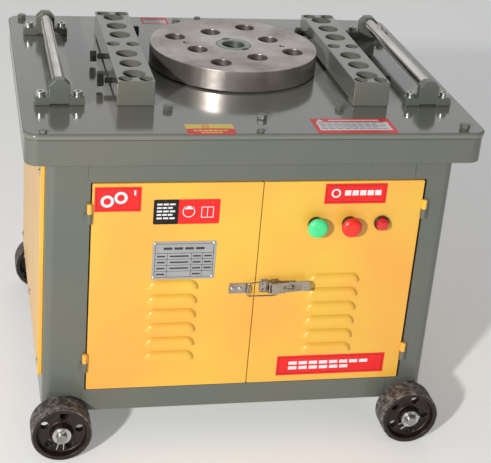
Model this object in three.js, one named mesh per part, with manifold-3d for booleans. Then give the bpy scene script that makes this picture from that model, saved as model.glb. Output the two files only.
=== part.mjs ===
// Electric steel-bar (rebar) bending machine: a sheet-steel cabinet on four cast wheels, and a work
// table with two pin rails, two free rollers, and a bending disc that a motor, a V-belt and a worm
// gear turn.
//
// Millimetres, +Z up. X runs to the operator's right, Y away from the operator, and the origin is
// on the ground under the middle of the machine.

import * as THREE from 'three';
import { mergeVertices } from 'three/addons/utils/BufferGeometryUtils.js';
import Module from 'manifold-3d';

const wasm = await Module();
wasm.setup();

// ---------------------------------------------------------------- driving dimensions

const GAP = 0.3;                    // left between pieces that touch

const TABLE = { width: 880, depth: 718, corner: 30, top: 690, plate: 12, edge: 4 };
const SKIRT = { inset: 3, wall: 5, bottom: 627.6 };
const CABINET = { x: 396, y: 320, corner: 18, wall: 4, bottom: 76, flange: 30 };
const WINDOW = { bottom: 200, top: 560, front: -250, back: 240, side: 300 };   // service openings
const FLOOR = { gap: 2, corner: 10, sheet: 4 };
// The right cover starts farther back: its rim doesn't show past the corner in the photo.
const COVER = {
  proud: 8, sheet: 2, bottom: 150, top: 612, front: { left: -300, right: -280 }, back: 292, side: 340,
};
const REAR_LOUVRES = { starts: [-230, 90], length: 140, top: 480 };
const DOOR = {
  left: -309.5, seam: 17.5, right: 339.5, bottom: 126.5, top: 577,
  gap: 0.8, proud: 2, sheet: 2, depth: 16, clear: 2,
};
const HINGE = { r: 5, out: 5.3, side: 4.5, half: 20.5, pin: 2.5, upper: 516.5, lower: 190, leaf: 6 };
const LOUVRE = { count: 6, pitch: 32, height: 19, out: 7, sheet: 2, lip: 4, slot: 7 };
const LOUVRES_LEFT = { x0: -199, x1: -96, top: 371 };
const LOUVRES_RIGHT = { x0: 124, x1: 231, top: 377 };

const DISC = { x: 13, y: 27, r: 175, bottom: 693, top: 735.4, bore: 37, hole: 21, pitch: 88.7, turn: 22.7 };
const SHAFT = { r: 36.5, lower: 25, step: 600, bottom: 478, socket: 23.5, socketDepth: 60, clear: 4 };

const RAIL = { mid: 12, x: 233, y: 8, width: 72, length: 446, height: 50, lift: 6, pad: 34 };
const RAIL_PINS = { r: 21, pitch: 60, count: 3 };
const RAIL_BOLTS = { r: 13, side: 20, end: 208, depth: 26 };

const ROLLER = { x: 365, y: 8.5, z: 726, r: 12.5, inset: 16 };
const BLOCK = { width: 39, depth: 22, height: 51, chamfer: 11, span: 201.5, foot: 94, footHeight: 16 };

const WHEEL = { x: 360, z: 60, r: 60, inner: 330, width: 50, bore: 10.5, sides: 20 };
const WEB_HOLES = { count: 5, ring: 36, r: 7.5, first: { left: 10, right: 0 } };
const WASHER = { r: 18.5, thick: 2.7 };
const AXLE = { half: 15, journal: 10, end: 394 };

const WORM = { y: 157, z: 550, module: 5, teeth: 40, pitchR: 30, turns: 5, shaftR: 15 };
const PULLEY = { x: -220, width: 30, bigR: 100, smallR: 40, beltTop: 17, beltLow: 11, beltHigh: 11 };
const MOTOR = { y: 157, z: 184.6, r: 98, x0: -160, x1: 128, shaftR: 14, floor: 84.6 };
const FAN = { vents: 6, blades: 6, coverDepth: 56, hub: 26 };
const GEARBOX = { x0: -137, x1: 163, y0: -100, y1: 215, z0: 490, z1: 661, wall: 10, floor: 16, lip: 12 };
const BEARING = { upperR: 55, upperDeep: 20, lowerR: 40, wormR: 31, wormLong: 16 };
const CONTROL_BOX = { x0: 240, x1: 372, y0: 120, y1: 290, top: 320 };

const BUTTON = { z: 487, start: 127, stop: 195, lamp: 261, capR: 20, stemR: 7, hole: 11.4 };
const LATCH = {
  z: 348, pivotX: 46, out: 9, pinArm: 11, bailEnd: 1.5, wire: 1.5, sheet: 2, pin: 2,
  ear: 8.5, earHalf: 3.4, cheek: 11, side: 16.5, leverEnd: 112, tip: 126,
};

// ---------------------------------------------------------------- materials

const finish = (color, metalness, roughness) =>
  new THREE.MeshStandardMaterial({ color, metalness, roughness });
const paint = {
  grey: () => finish(0x767b70, 0.2, 0.35),
  darkGrey: () => finish(0x5d6259, 0.2, 0.45),
  yellow: () => finish(0xf3bd52, 0.1, 0.4),
  machine: () => finish(0x4a6656, 0.2, 0.5),
};
const metal = {
  disc: () => finish(0x8c8279, 0.9, 0.4),
  steel: () => finish(0xa5a7a6, 0.9, 0.35),
  chrome: () => finish(0xdedfe0, 1.0, 0.08),
  zinc: () => finish(0xc4c6c4, 0.9, 0.3),
  iron: () => finish(0x2f2a27, 0.5, 0.6),
  bronze: () => finish(0xa9803f, 0.9, 0.4),
};
const plastic = {
  black: () => finish(0x1b1b1c, 0, 0.5),
  green: () => finish(0x28c46c, 0, 0.3),
  red: () => finish(0xd9221f, 0, 0.3),
  belt: () => finish(0x1f1f20, 0, 0.8),
};

// ---------------------------------------------------------------- solids

function toSolid(geometry) {
  const bare = geometry.index ? geometry.toNonIndexed() : geometry.clone();
  bare.deleteAttribute('normal');
  bare.deleteAttribute('uv');
  const merged = mergeVertices(bare, 1e-4);
  return new wasm.Manifold(new wasm.Mesh({
    numProp: 3,
    vertProperties: new Float32Array(merged.attributes.position.array),
    triVerts: new Uint32Array(merged.index.array),
  }));
}

function box(x0, x1, y0, y1, z0, z1) {
  const g = new THREE.BoxGeometry(x1 - x0, y1 - y0, z1 - z0);
  g.translate((x0 + x1) / 2, (y0 + y1) / 2, (z0 + z1) / 2);
  return toSolid(g);
}

// A regular prism from a to b along one axis, with a flat side at its lowest point on X and Y.
function bar(axis, r, centre, a, b, sides = 24) {
  const g = new THREE.CylinderGeometry(r, r, b - a, sides, 1, false, Math.PI / sides);
  g.translate(0, (a + b) / 2, 0);
  if (axis === 'x') g.rotateZ(-Math.PI / 2);
  if (axis === 'z') g.rotateX(Math.PI / 2);
  g.translate(...centre);
  return toSolid(g);
}

// A closed profile of [radius, distance along the axis] points, turned about that axis.
function turned(axis, profile, centre, sides = 24) {
  const points = profile.map(([r, h]) => new THREE.Vector2(r, h));
  const g = new THREE.LatheGeometry(points, sides, Math.PI / sides);
  if (axis === 'x') g.rotateZ(-Math.PI / 2);
  if (axis === 'z') g.rotateX(Math.PI / 2);
  g.translate(...centre);
  return toSolid(g);
}

function rounded(halfX, halfY, r) {
  const s = new THREE.Shape();
  s.moveTo(-halfX + r, -halfY);
  s.lineTo(halfX - r, -halfY);
  s.absarc(halfX - r, -halfY + r, r, -Math.PI / 2, 0);
  s.absarc(halfX - r, halfY - r, r, 0, Math.PI / 2);
  s.absarc(-halfX + r, halfY - r, r, Math.PI / 2, Math.PI);
  s.absarc(-halfX + r, -halfY + r, r, Math.PI, Math.PI * 1.5);
  return s;
}

function slab(shape, z0, z1, segments = 5) {
  const g = new THREE.ExtrudeGeometry(shape, {
    depth: z1 - z0, bevelEnabled: false, curveSegments: segments,
  });
  g.translate(0, 0, z0);
  return toSolid(g);
}

// An outline in the XZ plane, pushed along Y from y0 to y1.
function plateXZ(points, y0, y1) {
  const shape = new THREE.Shape(points.map(([x, z]) => new THREE.Vector2(x, z)));
  const g = new THREE.ExtrudeGeometry(shape, { depth: y1 - y0, bevelEnabled: false });
  g.rotateX(Math.PI / 2);
  g.translate(0, y1, 0);
  return toSolid(g);
}

// An outline in the XY plane, pushed along Z.
function plateXY(points, z0, z1) {
  const shape = new THREE.Shape(points.map(([x, y]) => new THREE.Vector2(x, y)));
  return slab(shape, z0, z1);
}

const join = (first, ...rest) => rest.reduce((a, b) => a.add(b), first);
const cut = (first, ...rest) => rest.reduce((a, b) => a.subtract(b), first);

const group = new THREE.Group();

function piece(name, solid, material) {
  const { vertProperties, triVerts } = solid.getMesh();
  const g = new THREE.BufferGeometry();
  g.setAttribute('position', new THREE.BufferAttribute(new Float32Array(vertProperties), 3));
  g.setIndex(new THREE.BufferAttribute(new Uint32Array(triVerts), 1));
  g.computeVertexNormals();
  const mesh = new THREE.Mesh(g, material);
  mesh.name = name;
  group.add(mesh);
}

// ---------------------------------------------------------------- table and cabinet

// The plate's edge is rounded over, top and bottom, by a small bevel.
function makeTable() {
  const { width, depth, corner, top, plate, edge } = TABLE;
  const shape = rounded(width / 2 - edge, depth / 2 - edge, corner - edge);
  const g = new THREE.ExtrudeGeometry(shape, {
    depth: plate - 2 * edge, bevelEnabled: true, bevelThickness: edge, bevelSize: edge,
    bevelSegments: 1, curveSegments: 5,
  });
  g.translate(0, 0, top - plate + edge);
  const shaftHole = bar('z', SHAFT.r + SHAFT.clear, [DISC.x, DISC.y, 0], top - plate - 1, top + 1, 24);
  piece('table_plate', cut(toSolid(g), shaftHole), paint.grey());

  const outer = SKIRT.inset;
  const inner = outer + SKIRT.wall;
  const under = top - plate - GAP;
  const skirt = cut(
    slab(rounded(width / 2 - outer, depth / 2 - outer, corner - outer), SKIRT.bottom, under),
    slab(rounded(width / 2 - inner, depth / 2 - inner, corner - inner), SKIRT.bottom - 1, under + 1),
  );
  piece('table_skirt', skirt, paint.grey());
}

function makeCabinet() {
  const { x, y, corner, wall, bottom, flange } = CABINET;
  const top = TABLE.top - TABLE.plate - GAP;
  const tube = cut(
    slab(rounded(x, y, corner), bottom, top, 4),
    slab(rounded(x - wall, y - wall, corner - wall), bottom + wall, top - wall, 4),
    box(-x + flange, x - flange, -y + flange, y - flange, bottom - 1, top + 1),
  );
  const c = DOOR.clear;
  const doorway = box(DOOR.left - c, DOOR.right + c, -y - 1, -y + 60, DOOR.bottom - c, DOOR.top + c);
  const w = WINDOW;
  const sideWindow = box(-x - 1, x + 1, w.front, w.back, w.bottom, w.top);
  const rearWindow = box(-w.side, w.side, y - 60, y + 1, w.bottom, w.top);
  piece('cabinet_frame', cut(tube, doorway, sideWindow, rearWindow), paint.grey());

  const inX = x - wall - FLOOR.gap;
  const inY = y - wall - FLOOR.gap;
  const floorZ = bottom + wall + GAP;
  const floor = slab(rounded(inX, inY, FLOOR.corner), floorZ, floorZ + FLOOR.sheet, 3);
  piece('cabinet_floor', floor, paint.darkGrey());
}

// The side and rear covers are sheets with their rims folded back to the cabinet.
function makeCovers() {
  const { proud, sheet, bottom, top, front, back, side: half } = COVER;
  for (const side of [-1, 1]) {
    const x0 = side * (CABINET.x + GAP);
    const x1 = side * (CABINET.x + GAP + proud);
    const x2 = side * (CABINET.x + GAP + proud - sheet);
    const [lo, hi] = [Math.min(x0, x1), Math.max(x0, x1)];
    const start = side < 0 ? front.left : front.right;
    const [inLo, inHi] = side < 0 ? [x2, x0 + 1] : [x0 - 1, x2];
    const cover = cut(
      box(lo, hi, start, back, bottom, top),
      box(inLo, inHi, start + sheet, back - sheet, bottom + sheet, top - sheet),
    );
    piece(side < 0 ? 'side_cover_left' : 'side_cover_right', cover, paint.yellow());
  }
  const y0 = CABINET.y + GAP;
  let rear = cut(
    box(-half, half, y0, y0 + proud, bottom, top),
    box(-half + sheet, half - sheet, y0 - 1, y0 + proud - sheet, bottom + sheet, top - sheet),
  );
  for (const x0 of REAR_LOUVRES.starts) {
    rear = louvred(rear, x0, x0 + REAR_LOUVRES.length, REAR_LOUVRES.top, y0 + proud, 1);
  }
  piece('rear_cover', rear, paint.yellow());
}

// One louvre's solid hood, with its sloped top and open underside, grown inwards by inset.
function hood(x0, x1, z1, face, out, inset, reach, low) {
  const back = face - out * LOUVRE.sheet;
  const front = face + out * reach;
  const shape = new THREE.Shape([
    new THREE.Vector2(back, z1 - inset),
    new THREE.Vector2(face, z1 - inset),
    new THREE.Vector2(front, z1 - LOUVRE.height + LOUVRE.lip),
    new THREE.Vector2(front, low),
    new THREE.Vector2(back, low),
  ]);
  const g = new THREE.ExtrudeGeometry(shape, { depth: x1 - x0 - 2 * inset, bevelEnabled: false });
  // the shape's own (x, y) becomes (Y, Z), and its depth runs along X
  g.applyMatrix4(new THREE.Matrix4().set(0, 0, 1, x0 + inset, 1, 0, 0, 0, 0, 1, 0, 0, 0, 0, 0, 1));
  return toSolid(g);
}

// Pressed louvres: each has a slot through the sheet under a sloped hood that is open downwards.
// The panel's outer face is at Y = face, and its outside is towards out on Y.
function louvred(panel, x0, x1, top, face, out) {
  const { count, pitch, height, out: reach, sheet, slot } = LOUVRE;
  const deep = face - out * (sheet + 1);
  let made = panel;
  for (let i = 0; i < count; i += 1) {
    const z1 = top - i * pitch;
    const z0 = z1 - height;
    const through = box(x0 + sheet, x1 - sheet, Math.min(face, deep), Math.max(face, deep), z0, z1 - slot);
    const outside = hood(x0, x1, z1, face, out, 0, reach, z0);
    const inside = hood(x0, x1, z1, face, out, sheet, reach - sheet, z0 - 1);
    made = cut(join(made, outside), inside, through);
  }
  return made;
}

// ---------------------------------------------------------------- doors

const FACE = -CABINET.y - DOOR.proud;            // the doors' outer face
const HINGE_Y = -CABINET.y - HINGE.out;

function doorPanel(x0, x1) {
  const { bottom, top, sheet, depth } = DOOR;
  const back = FACE + depth;
  return cut(
    box(x0, x1, FACE, back, bottom, top),
    box(x0 + sheet, x1 - sheet, FACE + sheet, back + 1, bottom + sheet, top - sheet),
  );
}

// Lift-off hinges: the lower half and its pin are on the frame, the upper half is on the door.
function hingeSleeve(x, middle, toDoor) {
  const z0 = middle + GAP;
  const z1 = middle + HINGE.half;
  const leafEnd = x + toDoor * (HINGE.side + HINGE.leaf);
  const leaf = box(Math.min(x, leafEnd), Math.max(x, leafEnd), HINGE_Y - 1, FACE + 1, z0, z1);
  return join(bar('z', HINGE.r, [x, HINGE_Y, 0], z0, z1, 12), leaf);
}

function hingeBore(x, middle) {
  return bar('z', HINGE.pin + GAP, [x, HINGE_Y, 0], middle - 1, middle + HINGE.half - 3, 12);
}

function hingeLower(x, middle) {
  return join(
    bar('z', HINGE.r, [x, HINGE_Y, 0], middle - HINGE.half, middle, 12),
    bar('z', HINGE.pin, [x, HINGE_Y, 0], middle - 1, middle + HINGE.half - 4, 12),
  );
}

function makeDoors() {
  const hinges = { left: DOOR.left - HINGE.side, right: DOOR.right + HINGE.side };
  const heights = { upper: HINGE.upper, lower: HINGE.lower };
  const blank = {
    left: doorPanel(DOOR.left, DOOR.seam - DOOR.gap),
    right: doorPanel(DOOR.seam + DOOR.gap, DOOR.right),
  };
  for (const x of [BUTTON.start, BUTTON.stop, BUTTON.lamp]) {
    const hole = bar('y', BUTTON.hole, [x, 0, BUTTON.z], FACE - 1, FACE + DOOR.sheet + 1, 20);
    blank.right = cut(blank.right, hole);
  }
  const rows = { left: LOUVRES_LEFT, right: LOUVRES_RIGHT };
  for (const side of ['left', 'right']) {
    const toDoor = side === 'left' ? 1 : -1;
    const row = rows[side];
    let door = louvred(blank[side], row.x0, row.x1, row.top, FACE, -1);
    for (const [level, middle] of Object.entries(heights)) {
      door = join(door, hingeSleeve(hinges[side], middle, toDoor));
      door = cut(door, hingeBore(hinges[side], middle));
      piece(`hinge_${side}_${level}`, hingeLower(hinges[side], middle), paint.grey());
    }
    piece(`door_${side}`, door, paint.yellow());
  }
}

// A toggle latch. The base's ears stand inside the lever's cheeks, and the wire bail straddles
// both, so the lever can swing over from lying on the right door to pointing at the left one.
function makeLatch() {
  const { z, pivotX, out, pinArm, bailEnd, wire, sheet, pin, ear, earHalf, cheek, side } = LATCH;
  const { leverEnd, tip } = LATCH;
  const pivotY = FACE - out;
  const face = FACE - GAP;
  const catchPlate = join(
    box(-35, 7, face - 1.5, face, z - cheek, z + cheek),
    box(bailEnd + wire + 1.1, 7, pivotY + 0.5, face, z - 7, z + 7),
  );
  piece('latch_catch', catchPlate, metal.zinc());

  const earBox = (z0) => box(pivotX - earHalf, pivotX + earHalf, pivotY - 4, face, z0, z0 + sheet);
  const base = join(
    box(26, 100, face - 1.5, face, z - ear - 1, z + ear + 1),
    earBox(z - ear),
    earBox(z + ear - sheet),
    bar('z', pin, [pivotX, pivotY, 0], z - cheek, z + cheek, 12),
  );
  piece('latch_base', base, metal.zinc());

  const plateY = pivotY - 5.5;
  const pinX = pivotX + pinArm;
  const cheekBox = (z0) => cut(
    box(pivotX - 4.5, pinX + 8, plateY - sheet, pivotY + 4.5, z0, z0 + sheet),
    box(pivotX - 5, pivotX + 2, plateY - sheet - 1, plateY, z0 - 1, z0 + sheet + 1),
  );
  const bentTip = [
    [leverEnd - 1, plateY], [leverEnd - 1, plateY - sheet], [tip - 1, plateY - 7], [tip, plateY - 5.2],
  ];
  const lever = cut(
    join(
      box(pivotX + 2, leverEnd, plateY - sheet, plateY, z - cheek, z + cheek),
      cheekBox(z - cheek),
      cheekBox(z + cheek - sheet),
      plateXY(bentTip, z - 7, z + 7),
    ),
    bar('z', pin + GAP, [pivotX, pivotY, 0], z - 20, z + 20, 12),
    bar('z', wire + GAP, [pinX, pivotY, 0], z - 20, z + 20, 12),
    box(72, 98, plateY - 3, plateY + 1, z - 3, z + 3),
  );
  piece('latch_lever', lever, metal.zinc());

  const wireBox = (x0, x1, z0, z1) => box(x0, x1, pivotY - wire, pivotY + wire, z0, z1);
  const bail = join(
    bar('z', wire, [pinX, pivotY, 0], z - side, z + side, 8),
    wireBox(bailEnd - wire, pinX + wire, z - side - wire, z - side + wire),
    wireBox(bailEnd - wire, pinX + wire, z + side - wire, z + side + wire),
    wireBox(bailEnd - wire, bailEnd + wire, z - side, z + side),
  );
  piece('latch_bail', bail, metal.steel());
}

// A turned piece of a push button or lamp: heights in its profile run out of the door, from y.
function knob(name, profile, x, y, material) {
  const outward = profile.map(([r, h]) => [r, 0 - h]).reverse();
  piece(name, turned('y', outward, [x, y, BUTTON.z], 16), material);
}

function makeControls() {
  const { z, stemR, capR, start, stop, lamp } = BUTTON;
  const inside = FACE + DOOR.sheet + GAP;
  const behind = FACE + 22;                      // the stem's inner end
  const bore = stemR + GAP;
  const cap = [
    [0, 0], [stemR, 0], [stemR, 37], [16, 38], [capR, 41], [capR, 46], [15, 50.5], [8, 52], [0, 52],
  ];
  const bezel = [[bore, 0], [15, 0], [15, 4], [12.5, 9], [bore, 9], [bore, 0]];
  for (const [name, x, material] of [['start', start, plastic.green()], ['stop', stop, plastic.red()]]) {
    knob(`${name}_button`, cap, x, behind, material);
    knob(`${name}_bezel`, bezel, x, FACE - GAP, plastic.black());
    const contacts = cut(
      box(x - 15, x + 15, inside, inside + 42, z - 20, z + 20),
      bar('y', bore, [x, 0, z], inside - 1, inside + 30, 20),
    );
    piece(`${name}_contacts`, contacts, plastic.black());
  }
  const lens = [
    [0, 0], [11, 0], [11, 30], [15.5, 30], [15.5, 36], [12.6, 37], [12.6, 43], [8, 47], [0, 48],
  ];
  knob('power_lamp', lens, lamp, FACE + 30 - GAP, plastic.red());
}

// ---------------------------------------------------------------- work table fittings

function makeRails() {
  const { mid, x, y, width, length, height, lift, pad } = RAIL;
  const z0 = TABLE.top + GAP;
  const z1 = TABLE.top + height;
  for (const [name, side] of [['pin_rail_left', -1], ['pin_rail_right', 1]]) {
    const cx = mid + side * x;
    const half = width / 2;
    const end = length / 2;
    let rail = cut(
      box(cx - half, cx + half, y - end, y + end, z0, z1),
      box(cx - half - 1, cx + half + 1, y - end + pad, y + end - pad, z0 - 1, z0 + lift),
    );
    for (const way of [-1, 1]) {
      for (let i = 1; i <= RAIL_PINS.count; i += 1) {
        const at = [cx, y + way * i * RAIL_PINS.pitch, 0];
        rail = cut(rail, bar('z', RAIL_PINS.r, at, z0 - 1, z1 + 1, 16));
      }
    }
    for (const row of [-1, 0, 1]) {
      for (const s of [-1, 1]) {
        const at = [cx + s * RAIL_BOLTS.side, y + row * RAIL_BOLTS.end, 0];
        rail = cut(rail, bar('z', RAIL_BOLTS.r, at, z1 - RAIL_BOLTS.depth, z1 + 1, 12));
      }
    }
    piece(name, rail, paint.grey());
  }
}

// A bearing block stands on two feet and is relieved underneath between them.
function makeRollers() {
  const { width, depth, height, chamfer, span, foot, footHeight } = BLOCK;
  const { y, z, r, inset } = ROLLER;
  const z0 = TABLE.top + GAP;
  const w = width / 2;
  for (const [sideName, side] of [['left', -1], ['right', 1]]) {
    const x = side * ROLLER.x;
    const outline = [
      [x - foot / 2, z0], [x - w + 1, z0], [x - w + 1, z0 + 2.5], [x + w - 1, z0 + 2.5], [x + w - 1, z0],
      [x + foot / 2, z0], [x + foot / 2, z0 + footHeight], [x + w, z0 + footHeight],
      [x + w, z0 + height - chamfer], [x + w - chamfer, z0 + height],
      [x - w + chamfer, z0 + height], [x - w, z0 + height - chamfer],
      [x - w, z0 + footHeight], [x - foot / 2, z0 + footHeight],
    ];
    for (const [endName, end] of [['front', -1], ['rear', 1]]) {
      const inner = y + end * span;
      const outer = inner + end * depth;
      const seatEnds = [inner - end, inner + end * inset];
      const seat = bar('y', r + GAP, [x, 0, z], Math.min(...seatEnds), Math.max(...seatEnds), 24);
      const block = cut(plateXZ(outline, Math.min(inner, outer), Math.max(inner, outer)), seat);
      piece(`roller_block_${sideName}_${endName}`, block, paint.grey());
    }
    const reach = span + inset - GAP;
    piece(`roller_${sideName}`, bar('y', r, [x, 0, z], y - reach, y + reach, 24), metal.chrome());
  }
}

// ---------------------------------------------------------------- wheels and axles

function makeWheels() {
  const { x, z, r, inner, width, bore, sides } = WHEEL;
  const corner = r / Math.cos(Math.PI / sides);
  const outer = inner + width;
  const web = inner + 22;
  const profile = [
    [bore, inner + 3], [22, inner + 3], [23, web], [48, web], [50, inner], [corner, inner],
    [corner, outer], [51, outer], [48, web + 15], [23, web + 15], [20, outer - 1], [bore, outer - 1],
    [bore, inner + 3],
  ];
  for (const [endName, end] of [['front', -1], ['rear', 1]]) {
    const across = (from, to) => [Math.min(end * from, end * to), Math.max(end * from, end * to)];
    const points = end > 0 ? profile : profile.map(([a, h]) => [a, -h]).reverse();
    for (const [sideName, side] of [['left', -1], ['right', 1]]) {
      const centre = [side * x, 0, z];
      let wheel = turned('y', points, centre, sides);
      for (let i = 0; i < WEB_HOLES.count; i += 1) {
        const a = ((WEB_HOLES.first[sideName] + (i * 360) / WEB_HOLES.count) * Math.PI) / 180;
        const at = [side * x + WEB_HOLES.ring * Math.cos(a), 0, z + WEB_HOLES.ring * Math.sin(a)];
        wheel = cut(wheel, bar('y', WEB_HOLES.r, at, ...across(inner, outer), 8));
      }
      piece(`wheel_${endName}_${sideName}`, wheel, metal.iron());
      const washer = cut(
        bar('y', WASHER.r, centre, ...across(outer + GAP, outer + GAP + WASHER.thick), 20),
        bar('y', AXLE.journal + GAP, centre, ...across(outer - 1, outer + WASHER.thick + 1), 20),
      );
      piece(`wheel_washer_${endName}_${sideName}`, washer, metal.zinc());
    }
  }
  for (const [sideName, side] of [['left', -1], ['right', 1]]) {
    const c = side * x;
    const ends = inner - 4;
    const beam = box(c - AXLE.half, c + AXLE.half, -ends, ends, z - AXLE.half, z + AXLE.half);
    const journals = bar('y', AXLE.journal, [c, 0, z], -AXLE.end, AXLE.end, 20);
    piece(`axle_${sideName}`, join(beam, journals), metal.steel());
  }
}

// ---------------------------------------------------------------- bending disc and its drive

function makeDisc() {
  const { x, y, r, bottom, top, bore, hole, pitch, turn } = DISC;
  const chamfer = 1.5;
  const profile = [
    [bore, bottom], [r - chamfer, bottom], [r, bottom + chamfer], [r, top - chamfer],
    [r - chamfer, top], [bore, top], [bore, bottom],
  ];
  let disc = turned('z', profile, [x, y, 0], 56);
  const angle = (turn * Math.PI) / 180;
  for (const i of [-1, 0, 1]) {
    for (const j of [-1, 0, 1]) {
      if (i === 0 && j === 0) continue;
      const px = x + pitch * (i * Math.cos(angle) - j * Math.sin(angle));
      const py = y + pitch * (i * Math.sin(angle) + j * Math.cos(angle));
      disc = cut(disc, bar('z', hole, [px, py, 0], bottom - 1, top + 1, 16));
    }
  }
  piece('bending_disc', disc, metal.disc());

  const s = SHAFT;
  const shaft = [
    [0, s.bottom], [s.lower, s.bottom], [s.lower, s.step], [s.r, s.step], [s.r, top],
    [s.socket, top], [s.socket, top - s.socketDepth], [0, top - s.socketDepth],
  ];
  piece('main_shaft', turned('z', shaft, [x, y, 0], 24), metal.steel());
}

// The toothed wheel's teeth lean by the worm's lead, so that they stay in its thread.
function makeWormWheel() {
  const { z, module, teeth } = WORM;
  const pitchR = (module * teeth) / 2;
  const tip = pitchR + module * 0.8;
  const root = pitchR - module * 1.2;
  const half = 18;
  const lean = (half * module) / (2 * WORM.pitchR) / pitchR;
  const outline = [];
  for (let i = 0; i < teeth; i += 1) {
    const mid = ((i + 0.5) * 2 * Math.PI) / teeth + Math.PI / 2;
    const step = (2 * Math.PI) / teeth;
    for (const [r, a] of [[root, -0.30], [tip, -0.12], [tip, 0.12], [root, 0.30]]) {
      outline.push([r, mid + a * step]);
    }
  }
  const ring = (turn, height) => outline.map(([r, a]) => [
    DISC.x + r * Math.cos(a + turn), DISC.y + r * Math.sin(a + turn), height]);
  const low = ring(-lean, z - half);
  const high = ring(lean, z + half);
  const n = outline.length;
  const vertices = [...low, ...high, [DISC.x, DISC.y, z - half], [DISC.x, DISC.y, z + half]];
  const faces = [];
  for (let i = 0; i < n; i += 1) {
    const j = (i + 1) % n;
    faces.push([i, j, n + j], [i, n + j, n + i], [2 * n, j, i], [2 * n + 1, n + i, n + j]);
  }
  const g = new THREE.BufferGeometry();
  g.setAttribute('position', new THREE.BufferAttribute(new Float32Array(vertices.flat()), 3));
  g.setIndex(faces.flat());
  const wheel = cut(
    toSolid(g),
    bar('z', SHAFT.lower + GAP, [DISC.x, DISC.y, 0], z - half - 1, z + half + 1, 24),
  );
  piece('worm_wheel', wheel, metal.bronze());
}

// A single-start worm: one helical thread on a straight root, with its shaft ends.
function makeWorm() {
  const { y, z, module, pitchR, turns, shaftR } = WORM;
  const pitch = Math.PI * module;
  const tip = pitchR + module * 0.8;
  const root = pitchR - module * 1.2;
  const around = 14;
  const along = 6;
  const length = turns * pitch;
  const steps = turns * along;
  const radius = (a, h) => {
    const phase = (((h / pitch - a / (2 * Math.PI)) % 1) + 1) % 1;
    const off = Math.abs(phase - 0.5);
    return off < 0.12 ? tip : off > 0.30 ? root : tip - ((off - 0.12) / 0.18) * (tip - root);
  };
  const vertices = [];
  for (let k = 0; k <= steps; k += 1) {
    const h = (k / steps - 0.5) * length;
    for (let i = 0; i < around; i += 1) {
      const a = (i * 2 * Math.PI) / around;
      const r = radius(a, h);
      vertices.push([DISC.x + h, y + r * Math.cos(a), z + r * Math.sin(a)]);
    }
  }
  const faces = [];
  const at = (k, i) => k * around + (i % around);
  for (let k = 0; k < steps; k += 1) {
    for (let i = 0; i < around; i += 1) {
      faces.push([at(k, i), at(k + 1, i), at(k + 1, i + 1)], [at(k, i), at(k + 1, i + 1), at(k, i + 1)]);
    }
  }
  const last = vertices.length;
  vertices.push([DISC.x - length / 2, y, z], [DISC.x + length / 2, y, z]);
  for (let i = 0; i < around; i += 1) {
    faces.push([last, at(0, i), at(0, i + 1)], [last + 1, at(steps, i + 1), at(steps, i)]);
  }
  const g = new THREE.BufferGeometry();
  g.setAttribute('position', new THREE.BufferAttribute(new Float32Array(vertices.flat()), 3));
  g.setIndex(faces.map(([a, b, c]) => [a, c, b]).flat());
  const shaft = bar('x', shaftR, [0, y, z], PULLEY.x - 20, GEARBOX.x1 - 2, 20);
  piece('worm_shaft', join(toSolid(g), shaft), metal.steel());
}

function makeGearbox() {
  const { x0, x1, y0, y1, z0, z1, wall, floor, lip } = GEARBOX;
  const { upperR, upperDeep, lowerR, wormR, wormLong } = BEARING;
  const housing = cut(
    box(x0, x1, y0, y1, z0, z1),
    box(x0 + wall, x1 - wall, y0 + wall, y1 - wall, z0 + floor, z1 + 1),
    bar('z', lowerR + GAP, [DISC.x, DISC.y, 0], z0 - 1, z0 + floor + 1, 24),
    bar('x', wormR + GAP, [0, WORM.y, WORM.z], x0 - 1, x1 + 1, 24),
  );
  piece('gearbox_housing', housing, paint.machine());

  const lid = TABLE.top - TABLE.plate - GAP;
  const cover = cut(
    box(x0 - lip, x1 + lip, y0 - lip, y1 + lip, z1 + GAP, lid),
    bar('z', upperR + GAP, [DISC.x, DISC.y, 0], z1 - 1, lid + 1, 24),
  );
  piece('gearbox_cover', cover, paint.machine());

  const ring = (axis, outer, inner, centre, a, b) => cut(
    bar(axis, outer, centre, a, b, 24),
    bar(axis, inner + GAP, centre, a - 1, b + 1, 24),
  );
  const main = [DISC.x, DISC.y, 0];
  const worm = [0, WORM.y, WORM.z];
  const rings = {
    main_bearing_upper: ring('z', upperR, SHAFT.r, main, z1 - upperDeep, lid),
    main_bearing_lower: ring('z', lowerR, SHAFT.lower, main, z0, z0 + floor),
    worm_bearing_left: ring('x', wormR, WORM.shaftR, worm, x0, x0 + wormLong),
    worm_bearing_right: ring('x', wormR, WORM.shaftR, worm, x1 - wormLong, x1),
  };
  for (const [name, solid] of Object.entries(rings)) piece(name, solid, metal.steel());
}

// A one-groove V-belt pulley, turned about X.
function pulley(name, outerR, z, boreR) {
  const { x, width, beltTop, beltLow, beltHigh } = PULLEY;
  const h = width / 2;
  const g = beltTop / 2 + GAP;
  const deep = beltHigh + 2;
  const low = beltLow / 2 + GAP;
  const profile = [
    [boreR + GAP, -h], [outerR, -h], [outerR, -g], [outerR - deep, -low], [outerR - deep, low],
    [outerR, g], [outerR, h], [boreR + GAP, h], [boreR + GAP, -h],
  ];
  piece(name, turned('x', profile, [x, WORM.y, z], 24), metal.iron());
}

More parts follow.
